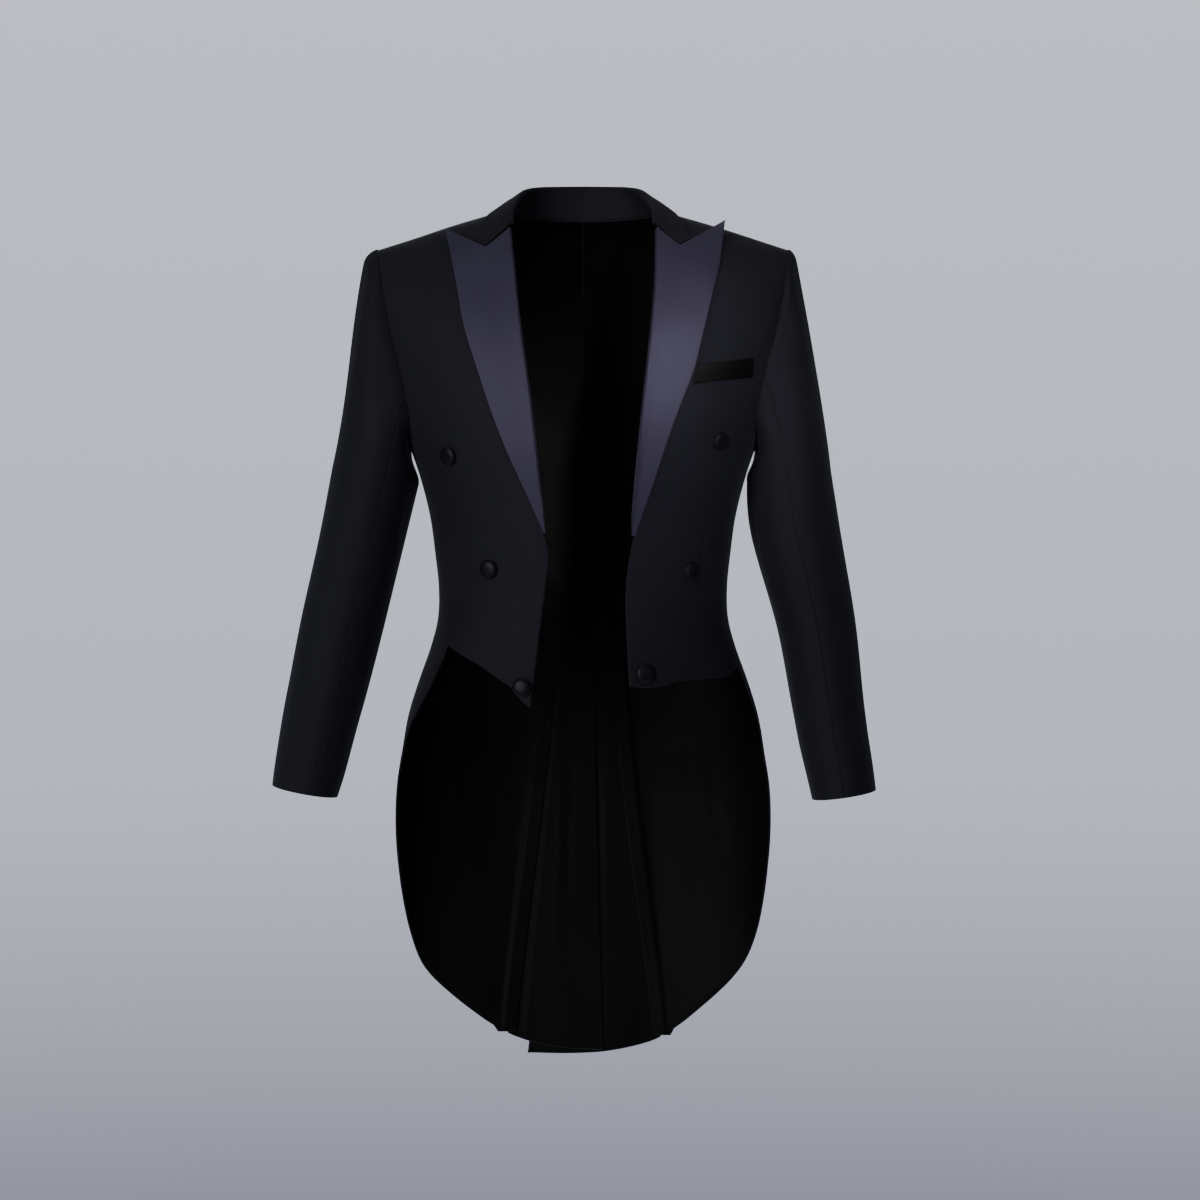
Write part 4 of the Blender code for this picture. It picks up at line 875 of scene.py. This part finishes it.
# Creases of a sleeve, in the columns of the back's, with the distance round the arm from its outer side for x
SLEEVE_CREASES = {
    "right": np.array([
        (0.118, -0.372, 0.070, -0.408, 0.004, 0.0060, -0.0013),
        (0.130, -0.405, 0.085, -0.428, -0.003, 0.0055, -0.0011),
        (0.110, -0.445, 0.062, -0.452, 0.003, 0.0060, -0.0009),
        (0.060, -0.120, 0.048, -0.270, 0.005, 0.0090, -0.0010),
        (-0.030, -0.110, -0.048, -0.300, -0.006, 0.0100, -0.0014),
        (-0.062, -0.130, -0.070, -0.260, 0.005, 0.0080, -0.0012),
        (-0.090, -0.380, -0.050, -0.430, 0.004, 0.0090, 0.0011),
        (0.022, -0.460, 0.036, -0.620, 0.003, 0.0100, -0.0008),
        (0.150, -0.300, 0.160, -0.390, 0.004, 0.0080, -0.0012),
    ]),
    "left": np.array([
        (0.120, -0.385, 0.066, -0.415, 0.005, 0.006, -0.0012),
        (0.128, -0.420, 0.090, -0.436, -0.002, 0.005, -0.0010),
        (0.104, -0.350, 0.078, -0.372, 0.003, 0.006, -0.0008),
        (0.055, -0.110, 0.050, -0.250, -0.004, 0.008, -0.0009),
        (-0.028, -0.120, -0.044, -0.290, -0.006, 0.010, -0.0013),
        (-0.064, -0.140, -0.070, -0.280, 0.004, 0.008, -0.0013),
        (-0.086, -0.400, -0.048, -0.440, 0.004, 0.009, 0.0010),
        (0.030, -0.480, 0.040, -0.630, 0.003, 0.009, -0.0009),
        (0.152, -0.310, 0.160, -0.400, 0.004, 0.008, -0.0011),
    ]),
}


def sleeve_ring(which, at, turn):
    """A point of the sleeve and the arm's direction: an ellipse across it, turn 0 outwards and 90 forwards.

    at is a fractional row of ARM. Towards the cuff the ellipse leans from square to the arm to level.
    """
    rows, step = ARM[which], 0.05
    last = len(rows) - 1
    z, x, y, half_width, half_depth = np.moveaxis(smooth(rows, at), -1, 0)
    ahead, before = (smooth(rows, np.clip(at + way, 0, last)) for way in (step, -step))
    axis = unit((ahead - before)[..., [1, 2, 0]])
    out = unit(np.array([1.0, 0.0, 0.0]) - axis * axis[..., :1])
    forward = np.cross(out, axis)
    forward = forward * np.where(forward[..., 1:2] > 0, -1, 1)
    level_cut = (at / last)[..., None] ** 2
    forward = forward * (1 - level_cut) + np.array([0.0, -1.0, 0.0]) * level_cut
    turn = np.radians(turn)
    outwards, forwards = half_width * np.cos(turn), half_depth * np.sin(turn)
    return np.stack([x, y, z], -1) + out * outwards[..., None] + forward * forwards[..., None], axis


def sleeve_grid(which, turns):
    """The middle of the sleeve's wall, for given turns round the arm, in rows from the armhole to the cuff.

    At each turn the cap leaves the armhole outwards, rounds a quarter ellipse and runs down a cubic curve.
    """
    start = surface(*armhole(turns % 360))
    arrive, axis = sleeve_ring(which, 0 * turns, turns)
    top = ((1 + np.cos(np.radians(turns))) / 2)[:, None]
    low = 1 - top
    lead = CAP_LEAD_TOP * top + CAP_LEAD_LOW * low
    lead[:, 1] -= CAP_SPREAD * np.sin(np.radians(turns))
    lead, down = unit(lead), unit(arrive - start)
    out_reach = CAP_OUT[which][0] * top + CAP_OUT[which][1] * low
    down_reach = CAP_DOWN[0] * top + CAP_DOWN[1] * low
    turn = np.radians(np.linspace(0, 90, CAP_ROWS)[:, None, None])
    head = start + lead * out_reach * np.sin(turn) + down * down_reach * (1 - np.cos(turn))
    begin = head[-1]
    length = np.linalg.norm(arrive - begin, axis=-1, keepdims=True)
    t = (np.linspace(0, 1, SLEEVE_ROWS)[1:-1] ** FALL_SPREAD)[:, None, None]
    fall = ((2 * t ** 3 - 3 * t ** 2 + 1) * begin + (t ** 3 - 2 * t ** 2 + t) * down * length
            + (3 * t ** 2 - 2 * t ** 3) * arrive + (t ** 3 - t ** 2) * axis * length)
    at = np.linspace(0, len(ARM[which]) - 1, ARM_ROWS)[:, None]
    arm, _ = sleeve_ring(which, at + 0 * turns, turns + 0 * at)
    return np.concatenate([head, fall, arm])


def mirror(points, side):
    """The same points on the wearer's right (side -1) or left (side 1)."""
    return points * np.array([side, 1.0, 1.0])


for which, side in SIDES.items():
    fore, hind = SEAM_TURNS[which]
    for half, first, last in (("top", hind - 360, fore), ("under", fore, hind)):
        turns = np.linspace(first, last, SLEEVE_COLUMNS[half])
        middle = sleeve_grid(which, turns)
        around = sleeve_grid(which, turns + 1) - sleeve_grid(which, turns - 1)
        out = unit(np.cross(around, np.gradient(middle, axis=0)))
        z = middle[..., 2]
        round_arm = np.radians(turns) * SLEEVE_ROUND + 0 * z
        moved = crease_depth(round_arm, z, SLEEVE_CREASES[which]) + settled(round_arm, z)
        moved = moved * fade_to_seams(*z.shape, SLEEVE_FADE)
        over = mirror(pull_in(middle + out * (CLOTH / 2 + moved)[..., None], -SEAM_OVERLAP), side)
        under = over - mirror(out, side) * CLOTH
        turned_up = np.arange(len(z))[:, None] + 0 * turns > len(z) - TURN_UP_ROWS
        sleeve = sew(f"coat_{half}_sleeve_{which}", over, under, (wool, lining), side, turned_up)
        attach(sleeve, "root")
        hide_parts(f"{half}_sleeve_{which}")


# The pointed lapels: the fronts folded back at the roll line and faced with black satin, flat and crisply
# pressed. Each lies on its front, with a notch above it where the collar meets it.

# The outer edge of each lapel, from its foot to its peak: x, z
LAPEL_EDGE = {
    "right": np.array([
        (0.0387, -0.3729), (0.0614, -0.3215), (0.0797, -0.2820), (0.0979, -0.2365), (0.1133, -0.1906),
        (0.1289, -0.1409), (0.1373, -0.0966), (0.1455, -0.0560), (0.1515, -0.0300),
    ]),
    "left": np.array([
        (0.0541, -0.3760), (0.0781, -0.3061), (0.0966, -0.2513), (0.1183, -0.1965), (0.1270, -0.1650),
        (0.1345, -0.1338), (0.1428, -0.1000), (0.1500, -0.0696), (0.1568, -0.0200),
    ]),
}
GORGE_TOP = (0.0790, -0.0270)
LAPEL_TOP = -0.0300
GORGE_CORNER = {"right": (0.1056, -0.0530), "left": (0.1067, -0.0510)}
COLLAR_CORNER = {"right": (0.1226, -0.0430), "left": (0.1180, -0.0445)}
LAPEL_START = 0.02
LAPEL_NARROW = 0.016
LAPEL_SPREAD = 3.0
NOTCH_HOLD = 5
# Round the roll line, the satin side and the underside: distance past it, lift off the body
ROLL_OVER = np.array([(0.0012, -CLOTH), (0.0002, -0.0006), (0.0006, 0.0018), (0.0024, 0.0042)])
ROLL_UNDER = np.array([(0.0034, -CLOTH), (0.0034, -0.0012), (0.0035, 0.0004), (0.0046, 0.0014)])
LAPEL_ROLL = 0.0010
LAPEL_GAP = 0.0010
LAPEL_GAP_TOP = 0.0014
LAPEL_GAP_START = -0.12
LAPEL_GAP_EASE = 0.06
LAPEL_LEAVE = 19.6
LAPEL_LEAN = 0.8
LAPEL_STAND = 0.033
LAPEL_ROWS = 130
ROLL_COLUMNS = 10
GORGE_COLUMNS = 22
PEAK_COLUMNS = 34
SATIN_WEAVE = (500.0, 0.06, 700.0, 9.0)

satin = cloth_finish(
    "black satin", (0.0185, 0.0162, 0.0310), (0.0240, 0.0212, 0.0385), (0.48, 0.56), (0.10, 0.4),
    SATIN_WEAVE, (0.35, 0.00012), specular=0.27, tint=(0.76, 0.70, 1.0), anisotropic=0.3,
)


def lapel_place(x, z, lift):
    """The body's point at x and z as seen from the front, moved out by lift, for a stiff pressed lapel.

    Above the level LAPEL_LEAVE it leaves the shoulder and leans back, ever slower, so that the peak stands
    clear of the shoulder line: by lean * rise * (1 - rise / (2 * stand)).
    """
    _, level = seen_ahead(x, z)
    level = np.minimum(level, LAPEL_LEAVE)
    angle = angle_of(x, level)
    point = body(angle, level, lift)
    rise = np.maximum(z - surface(angle, level)[..., 2], 0)
    point[..., 1] += LAPEL_LEAN * rise * (1 - rise / (2 * LAPEL_STAND))
    point[..., 2] += rise
    return point


def lapel_grids(which):
    """The lapel's satin side and underside: straight across from roll line to outer edge, notched on top.

    Both start inside the roll line and come round it. The satin side stands a cloth's thickness clear.
    """
    roll, outer_edge = along(FRONT_EDGE[which][BREAK_ROW:]), along(LAPEL_EDGE[which])
    up = np.linspace(LAPEL_START, 1, LAPEL_ROWS)
    z = roll[0, 1] + (LAPEL_TOP - roll[0, 1]) * up
    inner = np.stack([np.interp(z, roll[:, 1], roll[:, 0]), z], -1)
    outer = np.stack([np.interp(up, np.linspace(0, 1, CURVE_STEPS), column) for column in outer_edge.T], -1)
    corner, span = GORGE_CORNER[which], outer[-1] - inner[-1]
    corner_share = (corner[0] - inner[-1, 0]) / span[0]
    to_peak = np.linspace(corner_share, 1, PEAK_COLUMNS)[1:]
    shares = np.append(np.linspace(0, corner_share, GORGE_COLUMNS), to_peak)
    fall = corner[1] - (inner[-1, 1] + span[1] * corner_share)
    notch = np.interp(shares, [0, corner_share, 1], [0, fall, 0])
    scale = np.clip(np.linalg.norm(outer - inner, axis=-1, keepdims=True) / LAPEL_NARROW, 0, 1)
    flat = inner[:, None] + (outer - inner)[:, None] * shares[:, None]
    flat[..., 1] += notch * up[:, None] ** NOTCH_HOLD
    gap = LAPEL_GAP + LAPEL_GAP_TOP * ease((z - LAPEL_GAP_START) / LAPEL_GAP_EASE)[:, None]

    def layer(round_roll, lift_inner, lift_outer):
        """One side: points that come round the roll line, then the flat part."""
        offsets, lifts = smooth(round_roll, np.linspace(0, len(round_roll) - 1, ROLL_COLUMNS)).T
        rolled = np.repeat(inner[:, None], ROLL_COLUMNS, axis=1)
        rolled[..., 0] += offsets * scale
        points = np.concatenate([rolled, flat[:, 1:]], axis=1)
        sheet = lift_inner + (lift_outer - lift_inner) * ease(shares[1:] * LAPEL_SPREAD)
        return lapel_place(points[..., 0], points[..., 1], np.concatenate([lifts * scale, sheet], axis=1))

    top = gap + CLOTH
    return layer(ROLL_OVER, top + LAPEL_ROLL, top), layer(ROLL_UNDER, gap, gap)


for which, side in SIDES.items():
    over, under = lapel_grids(which)
    lapel = sew("coat_lapel_" + which, mirror(over, side), mirror(under, side), (satin, wool), side)
    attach(lapel, "root")
    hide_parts("lapel_" + which)


# The collar: wool folded into a stand and a fall. The stand is sewn to the neckline, and the ends of the fall
# are joined to the lapels at the gorge seams.

# Collar, from the gorge round to the nape: x, y, z of its fold, then x, y of its seam and of its outer edge
# as seen from above
COLLAR = np.array([
    (0.0792, -0.0500, -0.0240, 0.085, -0.0390, 0.1226, -0.0460),
    (0.0796, -0.0350, -0.0095, 0.088, -0.0270, 0.1110, -0.0310),
    (0.0765, -0.0180, 0.0020, 0.089, -0.0100, 0.1010, -0.0107),
    (0.0715, 0.0010, 0.0125, 0.088, 0.0050, 0.0950, 0.0040),
    (0.0645, 0.0200, 0.0205, 0.082, 0.0200, 0.0905, 0.0270),
    (0.0500, 0.0385, 0.0255, 0.066, 0.0360, 0.0770, 0.0530),
    (0.0270, 0.0500, 0.0275, 0.036, 0.0470, 0.0430, 0.0700),
    (0.0000, 0.0535, 0.0282, 0.000, 0.0505, 0.0000, 0.0760),
])
COLLAR_FOLD_RADIUS = 0.0019
COLLAR_BULGE = 0.0016
COLLAR_GAP = 0.0016
COLLAR_ROWS = 81
STAND_COLUMNS = 14
FOLD_COLUMNS = 11
FALL_COLUMNS = 26
CORNER_SHARE = 0.7
GORGE_GAP = 0.0011
GORGE_ROWS = 2.2
GORGE_HOLD = 1.5
COLLAR_SEAM_START = 0.3


def collar_grid(which):
    """The middle of half the collar's cloth: up the stand, half round the fold, down the fall to its edge."""
    at = np.linspace(0, len(COLLAR) - 1, COLLAR_ROWS)
    table = smooth(COLLAR, at)
    fold = table[:, :3]
    sewn_down = ease(at - COLLAR_SEAM_START)
    foot = body(*seen_above(table[:, 3], table[:, 4]), (CLOTH / 2 + COLLAR_GAP) * (1 - sewn_down))
    rim = body(*seen_above(table[:, 5], table[:, 6]), CLOTH / 2 + COLLAR_GAP)
    out = unit(rim - fold)
    lift = unit(np.cross(out, np.gradient(fold, axis=0)))
    lift = lift * np.where(lift[:, 2:3] < 0, -1, 1)
    inside, outside = fold - lift * COLLAR_FOLD_RADIUS, fold + lift * COLLAR_FOLD_RADIUS
    columns = [foot + (inside - foot) * share for share in np.linspace(0, 1, STAND_COLUMNS)]
    for turn in np.linspace(0, math.pi, FOLD_COLUMNS)[1:-1]:
        columns.append(fold - (lift * math.cos(turn) + out * math.sin(turn)) * COLLAR_FOLD_RADIUS)
    shares = np.linspace(0, 1, FALL_COLUMNS)
    for share in shares:
        columns.append(outside + (rim - outside) * share + lift * COLLAR_BULGE * 4 * share * (1 - share))
    grid = np.stack(columns, axis=1)
    line = (GORGE_TOP, GORGE_CORNER[which], COLLAR_CORNER[which])
    x, z = (np.interp(shares, (0.0, CORNER_SHARE, 1.0), places) for places in zip(*line))
    gorge = body(*seen_ahead(x, z + GORGE_GAP), CLOTH / 2 + LAPEL_GAP + LAPEL_GAP_TOP)
    weight = np.clip(1 - at / GORGE_ROWS, 0, 1)[:, None, None] ** GORGE_HOLD
    grid[:, -len(shares) + 1:] += ((gorge - grid[0, -len(shares):]) * weight)[:, 1:]
    return grid


whole = np.concatenate([collar_grid("left"), mirror(collar_grid("right")[::-1], -1.0)[1:]])
out = unit(np.cross(np.gradient(whole, axis=1), np.gradient(whole, axis=0)))
collar = sew("coat_collar", whole + out * CLOTH / 2, whole - out * CLOTH / 2, (wool, wool))
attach(collar, "root")
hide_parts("collar")


# The breast pocket's welt: a narrow strip of satin, folded double and sewn flat on the wearer's left front.
# It slants up a little towards the arm.

WELT_LOWER = ((0.1190, -0.2040), (0.1858, -0.1945))
WELT_UPPER = ((0.1272, -0.1826), (0.1870, -0.1733))
WELT_THICKNESS = 0.0016
WELT_BELLY = 0.0003
WELT_ROWS = 23
WELT_COLUMNS = 61

welt_satin = cloth_finish(
    "black welt satin", (0.0012, 0.0012, 0.0013), (0.0020, 0.0020, 0.0021), (0.45, 0.55), (0.0, 0.4),
    SATIN_WEAVE, (0.35, 0.0001), specular=0.08,
)
lower, upper = (np.linspace(*np.array(line), WELT_COLUMNS) for line in (WELT_LOWER, WELT_UPPER))
flat = np.linspace(lower, upper, WELT_ROWS)
angle, level = seen_ahead(flat[..., 0], flat[..., 1])
belly = np.outer(np.sin(np.linspace(0, np.pi, WELT_ROWS)), 1 + 0.3 * np.sin(np.linspace(0, 9, WELT_COLUMNS)))
under = body(angle, level, STACK_GAP)
over = body(angle, level, STACK_GAP + WELT_THICKNESS + WELT_BELLY * belly)
welt = sew("coat_breast_welt", over, under, (welt_satin, welt_satin))
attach(welt, "root")
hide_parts("breast_welt")


# The buttons: low domes covered with black cloth that is gathered round their rims. Three stand on each front
# in a V, and two on the back of the waist, at the tops of the pleats.

BUTTON_RADIUS = 0.0105
BUTTON_HEIGHT = 0.0055
FRONT_BUTTONS = {
    "right": ((0.1460, -0.2818), (0.1020, -0.4054), (0.0655, -0.5340)),
    "left": ((0.1504, -0.2657), (0.1183, -0.4075), (0.0680, -0.5190)),
}
WAIST_BUTTON_OUT = 0.004
WAIST_SEAM_ROW = 5
BUTTON_SIDES = 72
BUTTON_RINGS = 40
# From under the rim to the middle of the dome: share of the radius, share of the height
BUTTON_PROFILE = np.array([
    (0.05, 0.02), (0.45, 0.02), (0.80, 0.04), (0.93, 0.12), (0.985, 0.27), (0.97, 0.43), (0.93, 0.56),
    (0.85, 0.70), (0.72, 0.83), (0.55, 0.92), (0.35, 0.975), (0.15, 0.998), (0.02, 1.0),
])

button_cloth = cloth_finish(
    "black button cloth", (0.0022, 0.0022, 0.0028), (0.0038, 0.0038, 0.0048), (0.33, 0.44), (0.03, 0.4),
    (450.0, 0.5, 1200.0, 1.0), (0.5, 0.0002), specular=0.16, tint=(0.8, 0.8, 0.95),
)


def make_button(name, x, z, side, behind=False):
    """A covered button: a profile carried round the cloth's outward direction, with gathers at its rim.

    The radius swells by 1.2 % * sin(26 * turn) where the cloth is drawn under, and not at all on top.
    """
    angle, level = seen_ahead(x, z, behind)
    out = body_normal(side * angle, level)
    foot = body(side * angle, level, STACK_GAP)
    across = unit(np.cross(out, [0.0, 0.0, 1.0]))
    up = np.cross(across, out)
    profile = smooth(BUTTON_PROFILE, np.linspace(0, len(BUTTON_PROFILE) - 1, BUTTON_RINGS))
    turn = np.linspace(0, 2 * np.pi, BUTTON_SIDES + 1)[:-1]
    radius, height = profile[:, :1], profile[:, 1:]
    gather = 1 + 0.012 * np.sin(26 * turn) * ease((0.55 - height) / 0.4)
    wheel = np.cos(turn)[:, None] * across + np.sin(turn)[:, None] * up
    points = foot + wheel * (BUTTON_RADIUS * radius * gather)[..., None]
    points = points + out * (BUTTON_HEIGHT * height)[..., None]
    middles = [foot + out * BUTTON_HEIGHT * share for share in BUTTON_PROFILE[[0, -1], 1]]
    points = np.concatenate([points.reshape(-1, 3), middles])
    number = np.arange(BUTTON_RINGS * BUTTON_SIDES).reshape(BUTTON_RINGS, BUTTON_SIDES)
    after = np.roll(number, -1, axis=1)
    sides = np.stack([number[:-1], number[1:], after[1:], after[:-1]], -1).reshape(-1, 4)

    def fan(ring, middle):
        """Four-sided faces from every second side of a ring to a point in its middle."""
        return np.stack([ring[::2], ring[1::2], np.roll(ring, -2)[::2], np.full(len(ring) // 2, middle)], 1)

    faces = np.concatenate([sides, fan(number[0], number.size), fan(number[-1], number.size + 1)[:, ::-1]])
    woven = np.stack([points @ across, points @ up], -1)
    return make_mesh(name, points, faces, woven, (button_cloth,), np.zeros(len(faces)))


places = [(f"front_button_{which}_{number}", x, z, side, False)
          for which, side in SIDES.items() for number, (x, z) in enumerate(FRONT_BUTTONS[which], start=1)]
waist_x = float(SIDE_BACK[WAIST_SEAM_ROW, 0])
places += [("waist_button_" + which, waist_x, WAIST_BACK - WAIST_BUTTON_OUT, side, True)
           for which, side in SIDES.items()]


for name, x, z, side, behind in places:
    button = make_button("coat_" + name, x, z, side, behind)
    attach(button, "root")
    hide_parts(name)


# The room: a plain pale floor far below, a pale backdrop with painted shade that darkens it downwards, soft
# lights and the camera.
# None of it is a piece.

FLOOR_DROP = -1.45
FLOOR_RADIUS = 1.7
FLOOR_TONES = ((0.0, (0.70, 0.71, 0.78)), (1.0, (0.76, 0.77, 0.84)))
# The backdrop's colours, with painted shade darker towards the bottom, from straight down, 0, to straight up,
# 1
BACKDROP_WITH_PAINTED_SHADE = ((0.40, (0.27, 0.28, 0.355)), (0.47, (0.64, 0.655, 0.785)), (0.60, (0.79, 0.81, 0.96)))
turn = np.linspace(0, 2 * np.pi, 129)[:-1]
ring = np.stack([np.cos(turn), np.sin(turn), 0 * turn], -1) * FLOOR_RADIUS + [0, 0, FLOOR_DROP]
floor_mesh = bpy.data.meshes.new("floor")
floor_mesh.from_pydata(ring.tolist(), [], [list(range(len(turn)))])
floor = bpy.data.objects.new("floor", floor_mesh)
bpy.context.scene.collection.objects.link(floor)
paint = bpy.data.materials.new("floor paint")
paint.use_nodes = True
speckle = add_node(paint.node_tree, "TexNoise", {"Scale": 3.0})
feed(paint.node_tree, paint.node_tree.nodes["Principled BSDF"], {
    "Base Color": ramp(paint.node_tree, speckle.outputs["Fac"], FLOOR_TONES), "Roughness": 0.9,
})
floor_mesh.materials.append(paint)

world = bpy.data.worlds.new("studio")
bpy.context.scene.world = world
world.use_nodes = True
sky = world.node_tree
sky.nodes.clear()
towards = add_node(sky, "SeparateXYZ", {"Vector": add_node(sky, "TexCoord").outputs["Generated"]})
height = add_node(sky, "MapRange", {"Value": towards.outputs["Z"], "From Min": -1.0, "From Max": 1.0})
# Only the camera sees the backdrop's colours and their painted shade; the plain colour next lights the scene.
seen = add_node(sky, "Background", {"Color": ramp(sky, height.outputs["Result"], BACKDROP_WITH_PAINTED_SHADE)})
lit = add_node(sky, "Background", {"Color": (0.85, 0.87, 1.0, 1), "Strength": 0.16})
ray = add_node(sky, "LightPath").outputs["Is Camera Ray"]
either = add_node(sky, "MixShader", {"Fac": ray, 1: lit.outputs["Background"], 2: seen.outputs["Background"]})
add_node(sky, "OutputWorld", {"Surface": either.outputs["Shader"]})

# Lights: name, place, what it faces, width, height, watts, spread in degrees, whether gloss shows it
LIGHTS = (
    ("left softbox", (-2.0, -3.0, 0.3), (0.0, 0.0, -0.35), 1.6, 2.2, 91, 180, True),
    ("right softbox", (1.7, -3.4, 0.1), (0.0, 0.0, -0.40), 1.3, 2.0, 5, 180, True),
    ("top softbox", (0.0, -0.8, 2.6), (0.0, 0.0, -0.20), 1.8, 1.4, 10, 180, True),
    ("back softbox", (-0.4, 3.7, 0.7), (0.0, 0.0, -0.40), 2.2, 2.2, 170, 180, False),
    ("chest light", (0.9, -2.3, 0.6), (0.08, 0.0, -0.24), 0.3, 0.3, 0.27, 10, True),
)
for name, place, aim, wide, tall, power, spread, glossy in LIGHTS:
    light = bpy.data.lights.new(name, "AREA")
    light.shape = "RECTANGLE"
    light.size, light.size_y, light.energy, light.spread = wide, tall, power, math.radians(spread)
    lamp = bpy.data.objects.new(name, light)
    bpy.context.scene.collection.objects.link(lamp)
    lamp.location = place
    lamp.rotation_euler = (Vector(aim) - Vector(place)).to_track_quat("-Z", "Y").to_euler()
    lamp.visible_glossy = glossy

camera = bpy.data.objects.new("camera", bpy.data.cameras.new("camera"))
bpy.context.scene.collection.objects.link(camera)
camera.location = (0.019, -3.5, -0.439)
camera.rotation_euler = (math.radians(90), 0, 0)
camera.data.lens = 93.75
camera.data.sensor_width = 36.0
bpy.context.scene.camera = camera
